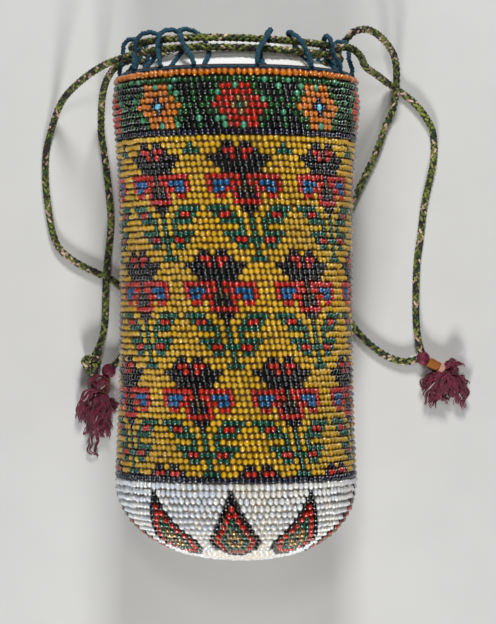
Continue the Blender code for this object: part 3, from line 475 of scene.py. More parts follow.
def carried(ahead):
    """A sideways direction at each point of a line, carried along without twist."""
    first = np.cross(ahead[0], (0.0, 0.0, 1.0))
    if np.linalg.norm(first) < 0.1:
        first = np.cross(ahead[0], (1.0, 0.0, 0.0))
    sideways = [unit(first)]
    for way in ahead[1:]:
        last = sideways[-1]
        sideways.append(unit(last - way * (last @ way)))
    return np.array(sideways)


def circle(count):
    """Even angles round a circle."""
    return 2 * np.pi * np.arange(count) / count


def directions(line, closed=False):
    if closed:
        return unit(np.roll(line, -1, 0) - np.roll(line, 1, 0))
    return unit(np.gradient(line, axis=0))


def frames_along(line, across=None, closed=False):
    """Two directions square to a line at each of its points."""
    ahead = directions(line, closed)
    across = carried(ahead) if across is None else across
    across = unit(across - ahead * np.sum(across * ahead, axis=1, keepdims=True))
    return across, np.cross(ahead, across)


def swung(turns, across, beside):
    """The direction at each angle from across towards beside."""
    return np.cos(turns)[:, None] * across + np.sin(turns)[:, None] * beside


def grid(count, sides, closed=True):
    """Corners of the quads between rings of points; a closed grid joins its ends too."""
    steps = count if closed else count - 1
    here = np.arange(steps)[:, None] * sides
    there = (np.arange(steps)[:, None] + 1) % count * sides
    side = np.arange(sides)[None, :]
    beyond = (side + 1) % sides
    quads = np.stack([here + side, here + beyond, there + beyond, there + side], -1)
    return quads.reshape(-1, 4)


def capped(count, sides):
    """Corners and corner counts of an open tube with both its ends."""
    ends = [np.arange(sides)[::-1], np.arange(sides) + (count - 1) * sides]
    corners = np.concatenate([grid(count, sides, False).ravel(), *ends])
    return corners, np.concatenate([np.full((count - 1) * sides, 4), (sides, sides)])


def tube(line, thick, sides, across=None, closed=False):
    """Points, corners and corner counts of a tube of the given radius along a line."""
    count = len(line)
    across, beside = frames_along(line, across, closed)
    turns = circle(sides)
    ring = np.cos(turns)[None, :, None] * across[:, None, :]
    ring = ring + np.sin(turns)[None, :, None] * beside[:, None, :]
    thick = np.broadcast_to(thick, count)
    points = (line[:, None, :] + ring * thick[:, None, None]).reshape(-1, 3)
    if closed:
        return points, grid(count, sides).ravel(), np.full(count * sides, 4)
    return points, *capped(count, sides)


def catmull(points, per_span=12):
    """A dense smooth line through the points."""
    points = np.asarray(points, float)
    ends = np.vstack([2 * points[0] - points[1], points, 2 * points[-1] - points[-2]])
    share = (np.arange(per_span) / per_span)[:, None]
    line = []
    for p0, p1, p2, p3 in zip(ends, ends[1:], ends[2:], ends[3:]):
        bend = 2 * p0 - 5 * p1 + 4 * p2 - p3
        swing = 3 * p1 - p0 - 3 * p2 + p3
        line.append(0.5 * (2 * p1 + (p2 - p0) * share + bend * share**2 + swing * share**3))
    return np.vstack([*line, points[-1]])


def lengths_along(line):
    return np.concatenate([[0], np.cumsum(np.linalg.norm(np.diff(line, axis=0), axis=1))])


def evenly(line, step):
    """The line read again at equal distances, close to the step."""
    line = np.asarray(line)
    along = lengths_along(line)
    count = max(2, round(along[-1] / step))
    goals = np.linspace(0, along[-1], count + 1)
    return np.stack([np.interp(goals, along, line[:, axis]) for axis in range(3)], 1)


def smooth_through(stations, place):
    """Reads a smooth curve through (place, value) stations, flat beyond its ends."""
    if place <= stations[0][0]:
        return stations[0][1]
    if place >= stations[-1][0]:
        return stations[-1][1]
    last = max(i for i in range(len(stations) - 1) if stations[i][0] <= place)
    (p1, v1), (p2, v2) = stations[last], stations[last + 1]
    p0, v0 = stations[max(last - 1, 0)]
    p3, v3 = stations[min(last + 2, len(stations) - 1)]
    slope1 = (v2 - v0) / (p2 - p0)
    slope2 = (v3 - v1) / (p3 - p1)
    span = p2 - p1
    t = (place - p1) / span
    return (
        (2 * t**3 - 3 * t**2 + 1) * v1
        + (t**3 - 2 * t**2 + t) * span * slope1
        + (3 * t**2 - 2 * t**3) * v2
        + (t**3 - t**2) * span * slope2
    )


def skin_radius(y):
    """The beaded wall's outer radius at a place along the axis."""
    if y >= SEAM_Y:
        return smooth_through(WALL_STATIONS, y)
    along = min((SEAM_Y - y) / DOME_DEPTH, 1)
    return FOOT_RADIUS * (1 - along**DOME_POWER) ** (1 / DOME_POWER)


def dome_shift(y):
    """How far the dome's middle leans sideways."""
    return DOME_LEAN * max(0, (SEAM_Y - y) / DOME_DEPTH) ** 2


def around(turns, radius, y, depth):
    """Points at angles round the bag's axis, no lower than their depth inside the skin."""
    turns = np.atleast_1d(turns)
    heights = np.maximum(AXIS_HEIGHT + radius * np.cos(turns), depth)
    return np.stack([radius * np.sin(turns), np.full(len(turns), float(y)), heights], 1)


def skin_points(turns, y, radius, depth=0):
    points = around(turns, radius, y, depth)
    points[:, 0] += dome_shift(y)
    return points


def skin_frames(turns, above, here, below):
    """Points and outward frames on the skin; each place along the profile is (y, radius)."""
    nudge = 0.002
    points = skin_points(turns, *here)
    along = skin_points(turns + nudge, *here) - skin_points(turns - nudge, *here)
    up = skin_points(turns, *above) - skin_points(turns, *below)
    along = unit(along)
    out = unit(np.cross(along, up))
    return points, along, np.cross(out, along), out


def flower_colour(stitch, round_number):
    """The bead's colour at a stitch and round of the gold body."""
    if round_number == BODY_ROUNDS:
        return "navy"
    found = "gold"
    for repeat in range(-1, 1 + BODY_ROUNDS // MOTIF_ROUNDS):
        down = round_number - MOTIF_START - repeat * MOTIF_ROUNDS
        if repeat < 0 and down < MOTIF_ROUNDS:
            continue
        drop = (repeat % 2) * MOTIF_STITCHES // 2
        across = (stitch - drop + MOTIF_STITCHES // 2) % MOTIF_STITCHES
        across = abs(across - MOTIF_STITCHES // 2)
        for name, first, last, begin1, begin2, end1, end2 in FLOWER_BARS:
            if not first <= down <= last:
                continue
            t = (down - first) / max(last - first, 1)
            if begin1 + (begin2 - begin1) * t <= across <= end1 + (end2 - end1) * t:
                found = name
    return found


def star_colour(stitch, round_number):
    """The bead's colour at a stitch and round of the star band."""
    star = math.floor(stitch / STAR_STITCHES + 0.5)
    across = abs(stitch - star * STAR_STITCHES)
    down = round_number - 1
    if down < 0:
        return "grass"
    if down >= STAR_ROUNDS:
        return "navy"
    half = STAR_HALF_WIDTHS[down]
    ends = down in (0, STAR_ROUNDS - 1)
    red_star = ((star + STARS // 2) % STARS - STARS // 2) % 2 == 0
    if across <= half:
        from_middle = across + abs(down - STAR_ROUNDS // 2)
        if from_middle == 0:
            return "leaf" if red_star else "sky"
        if from_middle == 1:
            return "tan" if red_star else "navy"
        if ends and across == 0:
            return "jade"
        return "red" if red_star else "orange"
    outline = across <= half + (1 if ends else 2)
    bar = across == STAR_STITCHES // 2 and down != STAR_ROUNDS // 2
    return "grass" if outline or bar else "black"


def petal_beads(round_number):
    """Colours of the beads across a petal at a round, none where there is no petal.

    A petal is one bead wider each round, then closes, and its colours lie in layers.
    """
    if not 1 <= round_number <= PETAL_ROUNDS:
        return []
    past = max(0, round_number - PETAL_WIDEST)
    across = min(round_number, PETAL_WIDEST) - past - max(0, past - 2)
    deepest = PETAL_ROUNDS - round_number
    return [PETAL_LAYERS[min(bead, across - 1 - bead, deepest)] for bead in range(across)]


class Finish:
    """A material under way: a Principled shader and the nodes that feed it."""

    def __init__(self, name, roughness, **constants):
        self.material = bpy.data.materials.new(name)
        self.material.use_nodes = True
        self.tree = self.material.node_tree
        self.shader = self.tree.nodes["Principled BSDF"]
        self.shader.inputs["Roughness"].default_value = roughness
        for socket, value in constants.items():
            self.shader.inputs[socket.replace("_", " ")].default_value = value

    def node(self, kind, links=(), **settings):
        """A new node with its settings; links holds a node's output or a value for each input."""
        made = self.tree.nodes.new(f"ShaderNode{kind}")
        for name, value in settings.items():
            setattr(made, name, value)
        for socket, value in dict(links).items():
            if isinstance(value, bpy.types.NodeSocket):
                self.tree.links.new(value, made.inputs[socket])
            else:
                made.inputs[socket].default_value = value
        return made

    def mark(self, name):
        return self.node("Attribute", attribute_name=name).outputs["Fac"]

    def noise(self, scale, detail):
        """Noise in the object's own metres."""
        place = self.node("TexCoord").outputs["Object"]
        return self.node("TexNoise", {"Vector": place, "Scale": scale, "Detail": detail}).outputs["Fac"]

    def ramp(self, factor, *stops):
        """Colours, or greys given as one number, at places along a factor."""
        made = self.node("ValToRGB", {"Fac": factor})
        for position, colour in stops[2:]:
            made.color_ramp.elements.new(position)
        for element, (position, colour) in zip(made.color_ramp.elements, sorted(stops)):
            element.position = position
            element.color = (*np.broadcast_to(colour, 3), 1)
        return made.outputs["Color"]

    def product(self, first, second):
        made = self.node("Mix", data_type="RGBA", blend_type="MULTIPLY")
        made.inputs[0].default_value = 1
        self.tree.links.new(first, made.inputs[6])
        self.tree.links.new(second, made.inputs[7])
        return made.outputs[2]

    def paint(self, colour):
        self.tree.links.new(colour, self.shader.inputs["Base Color"])

    def rough(self, factor, low, high):
        made = self.node("MapRange", {"Value": factor, "To Min": low, "To Max": high})
        self.tree.links.new(made.outputs["Result"], self.shader.inputs["Roughness"])

    def bump(self, height, depth, strength):
        made = self.node("Bump", {"Height": height, "Distance": depth, "Strength": strength})
        self.tree.links.new(made.outputs["Normal"], self.shader.inputs["Normal"])


def shaded(colour, share):
    return tuple(min(1, max(0, level * share)) for level in colour)


def glass_finish(name, low, middle, high, depth, metallic):
    """Glass beads of slightly different tones, with painted light on their outer face and painted shade
    down their sides.
    """
    made = bpy.data.materials.get(name)
    if made:
        return made
    finish = Finish(
        name, 0.1, Metallic=metallic, IOR=1.3, Coat_Weight=1.0, Coat_Roughness=0.03, Coat_IOR=1.75
    )
    each = finish.ramp(finish.mark("tone"), (0.0, low), (1.0, high), (0.5, middle))
    # Painted light and shade: lighter than the glass on the bead's outer face, darker down its sides;
    # depth is how much light the painted shade leaves in the sides.
    sides = finish.ramp(finish.mark("rise"), (0.25, depth), (1.0, 1.15), (0.7, 0.5 + 0.4 * depth))
    finish.paint(finish.product(each, sides))
    finish.rough(finish.noise(700, 3), 0.06, 0.16)
    return finish.material


def thread_finish(name, colour, roughness=0.8, grain=2600, sheen=0.1):
    """Spun thread: fine fibres, uneven dye, painted shade on the sides turned inward and a dry sheen."""
    made = bpy.data.materials.get(name)
    if made:
        return made
    finish = Finish(name, roughness, Sheen_Weight=sheen, Sheen_Roughness=0.5)
    fibres = finish.noise(grain, 4)
    dye = finish.ramp(finish.noise(420, 3), (0.3, shaded(colour, 0.6)), (0.7, shaded(colour, 1.35)))
    each = finish.ramp(finish.mark("tone"), (0.0, 0.5), (1.0, 1.1))
    # Painted shade: darker where the thread turns inward, lighter where it faces out.
    sides = finish.ramp(finish.mark("rise"), (0.15, 0.2), (1.0, 1.1))
    finish.paint(finish.product(finish.product(dye, each), sides))
    finish.rough(fibres, roughness - 0.12, roughness + 0.1)
    finish.bump(fibres, 0.00012, 0.8)
    return finish.material


def bead_template(hole):
    """A bead one unit across and long, its hole along the first axis: points, corners, counts."""
    stations = (
        (-0.5, hole / 2),
        (-0.34, BEAD_SHOULDER),
        (0.0, BEAD_BELLY),
        (0.34, BEAD_SHOULDER),
        (0.5, hole / 2),
    )
    turns = 2 * np.pi * (np.arange(BEAD_SIDES) + 0.5) / BEAD_SIDES
    points = [
        (along, radius * math.cos(turn), radius * math.sin(turn))
        for along, radius in stations
        for turn in turns
    ]
    return np.array(points), *capped(len(stations), BEAD_SIDES)


def add_beads(strip, centres, along, up, out, size, paints, sizes, rng, fat=1.0):
    """Sets one bead at each place: its hole lies near the along direction."""
    template, corners, totals = bead_template(sizes.hole)
    count = len(centres)
    tilt = rng.normal(BEAD_TILT, BEAD_TILT_SPREAD, count)[:, None]
    roll = rng.normal(0, BEAD_ROLL_SPREAD, count)[:, None]
    first = unit(along + up * tilt + out * roll)
    third = unit(out - first * np.sum(out * first, axis=1, keepdims=True))
    second = np.cross(third, first)
    spread = 1 + rng.normal(0, sizes.uneven, (count, 3)).clip(-0.16, 0.12)
    girth = sizes.width * fat
    scale = np.array([sizes.length, girth, girth])[None, :] * spread * size[:, None]
    local = template[None, :, :] * scale[:, None, :]
    sway = rng.normal(0, 1, (2, count, 1)).clip(-1.5, 1.5) * sizes.play
    places = centres + up * sway[0] * 1.5 + along * sway[1] * 0.7
    axes = np.stack([first, second, third], 1)
    points = places[:, None, :] + np.einsum("nvk,nkc->nvc", local, axes)
    points[:, :, 2] = np.maximum(points[:, :, 2], 0)
    each = len(template)
    corners = (corners[None, :] + each * np.arange(count)[:, None]).ravel()
    # Painted light mark for the glass: 0 on the bead's inner side, 1 on its outer face.
    rise = np.tile(template[:, 2] + 0.5, count)
    drift = 0.22 * np.sin(centres[:, 1] * 95 + 2.4 * np.sin(centres[:, 0] * 60))
    tone = np.repeat((rng.uniform(0, 1, count) * 0.8 + 0.1 + drift).clip(0, 1), each)
    paints = np.repeat(paints, len(totals))
    strip.add(points.reshape(-1, 3), corners, np.tile(totals, count), paints, tone, rise)


def bead_finishes(names):
    """Glass for each colour; clear beads get less painted shade in their sides than opaque ones."""
    colours = bpy.context.scene.bag_bead_colours
    finishes = []
    for name in names:
        colour = getattr(colours, name)
        spread, depth, metallic, _ = GLASS.get(name, PLAIN_GLASS)
        low, high = shaded(colour, 1 - spread), shaded(colour, 1 + spread)
        if name == "white":
            low, high = colours.opal, colours.cream
        finishes.append(glass_finish(f"{name}_glass", low, colour, high, depth, metallic))
    return finishes


def bead_rows(name, rows, seed, slot, node, fat=1.0):
    """One object of beads; each row is (turns, names, above, here, below)."""
    sizes = bpy.context.scene.bag_bead_sizes
    rng = np.random.default_rng(seed)
    strip = Strip()
    used = sorted({one for row in rows for one in row[1]} | {"jade"})
    for turns, names, above, here, below in rows:
        names = list(names)
        for place, one in enumerate(names):
            if one == "grass" and rng.uniform() < sizes.jade_share:
                names[place] = "jade"
        points, along, up, out = skin_frames(turns, above, here, below)
        size = np.array([GLASS.get(one, PLAIN_GLASS)[3] for one in names])
        centres = points - out * (sizes.width * fat * size[:, None] * 0.5 - BEAD_SINK)
        paints = np.array([used.index(one) for one in names])
        add_beads(strip, centres, along, up, out, size, paints, sizes, rng, fat)
    return strip.make(name, bead_finishes(used), slot, node)


def ground_shell(name, levels, turns, finish, slot, node, sink, deep=WALL, rows=()):
    """The thread fabric that the beads sit on, between two depths under the skin.

    levels holds (y, radius) from the mouth side down; a radius of 0 closes the shell.
    rows holds the beads' angles and colours at each level, which the thread follows; their colours set
    the thread's painted shade under each bead.
    """
    angles = circle(turns)
    count = 2 * len(levels)
    tones = np.ones((count, turns))
    rings = []
    for depth, order in ((sink, levels), (deep, levels[::-1])):
        for y, radius in order:
            number = len(rings)
            if rows:
                angles, names = rows[min(number, count - 1 - number)][:2]
                # Painted shade under each bead, from its colour
                tones[number] = [THREAD_LIGHT_UNDER_BEADS.get(one, 0.4) for one in names]
            inner = max(radius - depth, 0.2 * MM)
            at, lift = (y, depth) if radius else (y + depth, 0)
            rings.append(skin_points(angles, at, inner, lift))
    corners = grid(count, turns)[:, [0, 3, 2, 1]].ravel()
    strip = Strip()
    strip.add(np.vstack(rings), corners, np.full(count * turns, 4), 0, tones.ravel())
    return strip.make(name, [finish], slot, node)


def fabric_finish(name, thread):
    """Close crochet under the beads, with painted shade towards the dark thread colour where the beads
    are dark.
    """
    looks = bpy.context.scene.bag_threads
    finish = Finish(name, 0.85)
    stitches = finish.noise(900, 3)
    colour = finish.ramp(finish.mark("tone"), (0.1, looks.dark), (0.9, getattr(looks, thread)))
    finish.paint(finish.product(colour, finish.ramp(stitches, (0.35, 0.6), (0.7, 1.1))))
    finish.bump(stitches, 0.0003, 1.0)
    return finish.material


def strand_bundle(
    strip, line, paints, coil, thick, lay, sides, bulge, twist=0.0, frames=None, closed=False
):
    """A strand for each paint, laid round a line like the plies of a twine."""
    along = lengths_along(line)
    across, beside = frames_along(line, frames, closed)
    # Painted shade: each ply darker on its side turned in, in the grooves between plies.
    rise = np.tile(0.5 + 0.5 * np.cos(circle(sides)), len(line))
    for strand, paint in enumerate(paints):
        out = swung(twist + 2 * np.pi * (strand / len(paints) + along / lay), across, beside)
        radius = thick / 2 * (1 + bulge * np.cos(2 * np.pi * along / (lay * 0.45) + strand * 2.1))
        points, corners, totals = tube(line + out * coil, radius, sides, out, closed)
        strip.add(points, corners, totals, paint, 0.35 + 0.6 * (strand % 2), rise)


def braid(strip, line, looks, seed, thickness=CORD):
    """A round braid: as many strands wind each way, passing over and under in turn."""
    rng = np.random.default_rng(seed)
    along = lengths_along(line)
    across, beside = frames_along(line)
    pairs = looks.strands
    wave = thickness * 0.085
    middle = thickness / 2 - looks.strand / 2 - wave
    # Painted shade: each strand lit on its outer side and shaded on its inner side.
    rise = np.tile((1.0, 0.5, 0.0, 0.5), len(line))
    for way in (1, -1):
        radius = middle + way * wave * np.cos(2 * np.pi * along / looks.lay * pairs)
        for strand in range(pairs):
            turn = 2 * np.pi * (strand / pairs + way * along / looks.lay)
            out = swung(turn, across, beside)
            points, corners, totals = tube(line + out * radius[:, None], looks.strand / 2, 4, out)
            paint = braid_paints(len(line) - 1, rng)
            paint = np.concatenate([np.repeat(paint, 4), (paint[0], paint[-1])])
            strip.add(points, corners, totals, paint, rng.uniform(0.3, 1), rise)


def braid_paints(steps, rng):
    """Which of the braid's colours shows along a strand, fleck by fleck: 0 olive to 4 cream."""
    paint = np.zeros(steps, int)
    place = 0
    while place < steps:
        run = int(rng.integers(3, 9))
        paint[place : place + run] = rng.choice(5, p=(0.28, 0.2, 0.14, 0.26, 0.12))
        place += run
    return paint


def braid_finishes(looks):
    return [
        thread_finish(f"{name}_strand", getattr(looks, name), 0.75)
        for name in ("olive", "lime", "green", "brown", "cream")
    ]


def teal_finishes():
    looks = bpy.context.scene.bag_threads
    names = {"teal_thread": looks.teal, "pale_teal_thread": looks.pale_teal}
    return [thread_finish(name, colour, 0.7) for name, colour in names.items()]


def cord_height(turn, level):
    """The drawstrings hang a little lower towards the right front."""
    return level - DROOP * max(0, math.cos(turn - DROOP_TURN)) ** 2


def mouth_spot(turn, radius, y):
    return around(turn, radius, y, MOUTH_SKIN - radius)[0]


def mouth_strand(level, start, end):
    """Points of a drawstring round the mouth, with its direction at both ends."""
    count = math.ceil(abs(end - start) * CORD_RADIUS / CORD_STEP)
    turns = np.linspace(start, end, count + 1)
    points = np.array([mouth_spot(t, CORD_RADIUS, cord_height(t, level)) for t in turns])
    return points, unit(points[0] - points[1]), unit(points[-1] - points[-2])


def route_to(route, place, radius):
    """The route with one more point, tucked into a ball or knot."""
    place = np.array(place)
    back = unit(np.array(route[-1]) - place)
    return [*route, place + back * (radius - TUCK)]


def free_strand(leaves, way, route):
    """The line of a strand that leaves the mouth in a direction and follows a route."""
    start = leaves + way * GAP
    line = catmull([start + way * CORD / 2, start + way * CORD, *route])
    return np.vstack([start, evenly(line, CORD_STEP)])


class BAG_OT_stage(bpy.types.Operator):
    """Camera, floor, lamps and even light"""

    bl_idname = "bag.stage"
    bl_label = "Stage"

    def execute(self, context):
        looks = context.scene.bag_stage
        camera = bpy.data.cameras.new("camera")
        camera.lens = looks.lens
        camera.sensor_width = 36
        camera.clip_start = 0.01
        place = (looks.camera_x, looks.camera_y, looks.camera_height)
        context.scene.camera = placed("camera", camera, place)
        self.add_floor(looks)
        self.add_lamps(looks)
        self.add_world(context, looks)
        context.scene.view_settings.view_transform = "Standard"
        return {"FINISHED"}

    def add_floor(self, looks):
        """A wide sheet of pale paper."""
        half = 3.0
        mesh = bpy.data.meshes.new("floor")
        corners = [(-half, -half, 0), (half, -half, 0), (half, half, 0), (-half, half, 0)]
        mesh.from_pydata(corners, [], [(0, 1, 2, 3)])
        finish = Finish("floor_paper", 0.9)
        low, high = shaded(looks.floor, 0.98), shaded(looks.floor, 1.02)
        finish.paint(finish.ramp(finish.noise(40, 3), (0.3, low), (0.7, high)))
        mesh.materials.append(finish.material)
        placed("floor", mesh)

    def add_lamps(self, looks):
        """Soft lamps beyond the mouth and the base, and a weak one overhead."""
        lamps = (
            ("lamp_mouth_side", (0.05, 0.72, 0.56), 0.20, 0.86),
            ("lamp_base_side", (-0.03, -0.80, 0.40), 0.20, 1.0),
            ("lamp_overhead", (-0.06, 0.26, 0.95), 0.14, 0.15),
        )
        for name, place, size, share in lamps:
            light = bpy.data.lights.new(name, "AREA")
            light.size = size
            light.energy = looks.lamp_power * share
            lamp = placed(name, light, place)
            aim = -lamp.location.normalized()
            lamp.rotation_euler = aim.to_track_quat("-Z", "Y").to_euler()

    def add_world(self, context, looks):
        """A little even light from all round."""
        world = bpy.data.worlds.new("even_light")
        world.use_nodes = True
        back = world.node_tree.nodes["Background"]
        back.inputs["Color"].default_value = (1, 1, 1, 1)
        back.inputs["Strength"].default_value = looks.world_light
        context.scene.world = world


class BAG_OT_cord_ends(bpy.types.Operator):
    """Wound balls, knot, necks and tassels at the ends of the drawstrings"""

    bl_idname = "bag.cord_ends"
    bl_label = "Balls, necks and tassels"

    def execute(self, context):
        looks = context.scene.bag_threads
        magenta = thread_finish("magenta_floss", looks.magenta, 0.55, 3000, 0.15)
        ochre = thread_finish("ochre_thread", looks.ochre, 0.5)
        pink = thread_finish("pink_thread", looks.pink, 0.7)
        cream = thread_finish("cream_floss", linear((225, 215, 210)), 0.7)
        self.wound_ball("left_ball", LEFT_BALL_PLACE, magenta, 21)
        self.wound_ball("right_ball", RIGHT_BALL_PLACE, magenta, 22)
        self.knot(context.scene.bag_braid)
        start, way = self.beside(LEFT_BALL_PLACE, LEFT_NECK_TURN, LEFT_NECK_RADIUS)
        self.wound_neck("left_neck", start, way, LEFT_NECK_LENGTH, LEFT_NECK_RADIUS, ochre, pink)
        start, way = self.beside(RIGHT_BALL_PLACE, RIGHT_NECK_TURN, TIE_RADIUS)
        self.wound_neck("right_neck", start, way, RIGHT_NECK_LENGTH, RIGHT_NECK_RADIUS, ochre, ochre)
        start = start + way * (RIGHT_NECK_LENGTH + GAP)
        self.wound_neck("right_tie", start, way, TIE_LENGTH, TIE_RADIUS, pink, pink)
        self.tassel("left_tassel", LEFT_TUFTS, looks.floss, [magenta, cream], 31)
        self.tassel("right_tassel", RIGHT_TUFTS, looks.floss, [magenta, cream], 32)
        return {"FINISHED"}

    def beside(self, place, turn, height):
        """Where a neck begins beside its ball, and the way that it lies."""
        way = np.array([math.cos(turn), math.sin(turn), 0])
        start = np.array(place) + way * (BALL_REACH + GAP)
        start[2] = height + GAP
        return start, way

    def wound_ball(self, name, place, finish, seed):
        """Thread wound round itself every way."""
        rng = np.random.default_rng(seed)
        strip = Strip()
        turns = np.linspace(0, 2 * np.pi, 28, endpoint=False)
        for _ in range(WINDINGS):
            pole = unit(rng.normal(size=3))
            side = unit(np.cross(pole, rng.normal(size=3)))
            other = np.cross(pole, side)
            tilt = rng.uniform(-0.55, 0.55)
            radius = BALL_RADIUS - WINDING + rng.uniform(-0.0004, 0.0001)
            ring = swung(turns, side, other)
            ring = unit(ring * math.cos(tilt) + pole * math.sin(tilt)) * radius
            strip.add(*tube(ring + place, WINDING, 4, unit(ring), True), 0, rng.uniform(0, 1))
        strip.make(f"{name}_windings", [finish], "magenta_thread", name)

    def knot(self, looks):
        """The left strand's own overhand knot."""
        strip = Strip()
        turns = np.linspace(0, 2 * np.pi, 90)
        across = np.sin(turns) + 2 * np.sin(2 * turns)
        along = np.cos(turns) - 2 * np.cos(2 * turns)
        line = np.stack([across, along, -1.2 * np.sin(3 * turns)], 1)
        reach = np.abs(line).max(0)
        line = line / reach * (np.array(KNOT_RADII) - CORD * 0.42) + np.array(KNOT_PLACE)
        braid(strip, evenly(line, STRAND_STEP), looks, 41, CORD * 0.95)
        strip.make("left_knot_braid", braid_finishes(looks), "olive_cord", "left_knot")

    def wound_neck(self, name, start, way, length, radius, finish, end_finish):
        """Thread wound side by side round a core, from inside what it hangs on."""
        strip = Strip()
        thread = NECK_THREAD
        start = start - way * TUCK / 2
        length += TUCK / 2
        rounds = max(3, int(length / thread))
        turns = np.linspace(0, 2 * np.pi * rounds, rounds * 16)
        up = np.array([0.0, 0.0, 1.0])
        side = np.cross(way, up)
        along = np.linspace(thread / 2, length - thread / 2, len(turns))
        ring = swung(turns, side, up)
        line = start + way * along[:, None] + ring * (radius - thread / 2)
        thick = thread / 2 * (1.05 + 0.2 * np.sin(turns * 3.7))
        points, corners, totals = tube(line, thick, 5, ring)
        last = np.repeat((along > length - 2.2 * thread).astype(int)[1:], 5)
        # Painted shade in the grooves between the windings.
        rise = np.tile(0.5 + 0.5 * np.cos(circle(5)), len(line))
        strip.add(points, corners, totals, np.concatenate([last, (0, 1)]), 0.8, rise)
        core = np.array([start + way * 0.0001, start + way * (length - 0.0001)])
        # The core, painted dark as the shade under the windings.
        strip.add(*tube(core, radius - thread * 0.7, 12), 0, 0.0, 0.2)
        slot = "pink_thread" if name == "right_tie" else "ochre_thread"
        strip.make(f"{name}_winding", [finish, end_finish], slot, name)

    def wander(self, share, rng, reach):
        """A loose sway that grows from the root."""
        sway = np.zeros_like(share)
        for cycles in rng.uniform((0.6, 1.6), (1.2, 3.0)):
            sway += np.sin(2 * np.pi * cycles * share + rng.uniform(0, 2 * np.pi)) / (1 + cycles)
        return (sway - sway[0]) * reach

    def tassel(self, name, tufts, floss, finishes, seed):
        """Loose floss in tufts of curling locks."""
        rng = np.random.default_rng(seed)
        strip = Strip()
        share = np.linspace(0, 1, 21)[:, None]
        for count, root, tip, first, middle, last in tufts:
            first, middle, last = (np.array(point) * MM for point in (first, middle, last))
            spine = (1 - share) ** 2 * first + 2 * share * (1 - share) * middle + share**2 * last
            ahead = directions(spine)
            side = unit(np.cross(ahead, (0.0, 0.0, 1.0)))
            up = np.cross(side, ahead)
            spread = (root + (tip - root) * share) * MM * (1 + 0.4 * np.sin(np.pi * share))
            for _ in range(max(1, count // LOCK_THREADS)):
                angle, off = rng.uniform(0, 2 * np.pi), math.sqrt(rng.uniform())
                across = off * math.cos(angle) * spread + self.wander(share, rng, LOCK_SWAY)
                lift = 0.8 * off * math.sin(angle) * spread + self.wander(share, rng, LOCK_LIFT)
                reach, twist = rng.uniform(0.7, 1.0), rng.uniform(-1.6, 1.6)
                curl = 2 * np.pi * (rng.uniform(1.8, 3.6) * share + rng.uniform(0, 1))
                across = across + LOCK_CURL * np.sqrt(share) * np.cos(curl)
                lift = lift + LOCK_CURL * np.sqrt(share) * np.sin(curl)
                tone = rng.uniform(0, 0.7)
                for thread in range(LOCK_THREADS):
                    turn = 2 * np.pi * (thread / LOCK_THREADS + twist * share)
                    fray = (0.22 + 0.5 * share**2) * MM * rng.uniform(0.5, 1.2)
                    line = spine + side * (across + fray * np.cos(turn))
                    line = line + up * (lift + fray * np.sin(turn))
                    line = line + side * self.wander(share, rng, THREAD_SWAY)
                    thick = floss / 2 * rng.uniform(0.75, 1.25)
                    line = evenly(line, FLOSS_STEP)
                    line = line[: max(4, int(len(line) * reach * rng.uniform(0.88, 1)))]
                    line[:, 2] = np.maximum(line[:, 2], thick)
                    taper = np.linspace(1, 0.6, len(line)) * thick
                    paint = 1 if rng.uniform() < CREAM_SHARE else 0
                    # Painted light and shade: each thread lighter on its upper side and darker
                    # underneath.
                    rise = np.tile((1.0, 0.65, 0.3, 0.65), len(line))
                    strand = tube(line, taper, 4, up[:1].repeat(len(line), 0))
                    strip.add(*strand, paint, tone + rng.uniform(0, 0.3), rise)
        strip.make(f"{name}_floss", finishes, "magenta_thread", name)


class BAG_OT_drawstrings(bpy.types.Operator):
    """Braided drawstrings: round the mouth, and the four free strands"""

    bl_idname = "bag.drawstrings"
    bl_label = "Drawstrings"

    def execute(self, context):
        looks = context.scene.bag_braid
        finishes = braid_finishes(looks)
        ends = {}
        for number, (side, (level, front, back)) in enumerate(STRANDS.items()):
            points, first, last = mouth_strand(level, front, back)
            strip = Strip()
            braid(strip, evenly(catmull(points), STRAND_STEP), looks, 51 + number)
            name = f"drawstring_{side}"
            strip.make(f"{name}_braid", finishes, "olive_cord", f"{name}_mouth")
            ends[side] = ((points[0], first), (points[-1], last))
        for number, (name, strand) in enumerate(FREE_STRANDS.items()):
            side, which, route, place, reach = strand
            spots = free_strand(*ends[side][which], route_to(route, place, reach))
            line = evenly(catmull(spots), STRAND_STEP)
            strip = Strip()
            braid(strip, line, looks, 61 + number)
            thing = strip.make(f"{name}_braid", finishes, "olive_cord", name)
        return {"FINISHED"}


def profile_at(y):
    """(y, radius) on the skin a little above, at and a little below a place on the wall."""
    places = (y + PROFILE_NUDGE, y, max(y - PROFILE_NUDGE, SEAM_Y))
    return [(place, skin_radius(place)) for place in places]


def chart_row(names, turn, lean, y):
    """A round of beads at a place along the wall, set round by its lean."""
    stitches = np.arange(len(names)) + LEAN_PER_ROUND * lean
    return (turn + 2 * math.pi / len(names) * stitches, names, *profile_at(y))


def row_levels(rows, top, foot):
    """(y, radius) of each round, with the first and last moved out to the piece's ends."""
    ys = [top, *(row[3][0] for row in rows[1:-1]), foot]
    return [(y, skin_radius(y)) for y in ys]


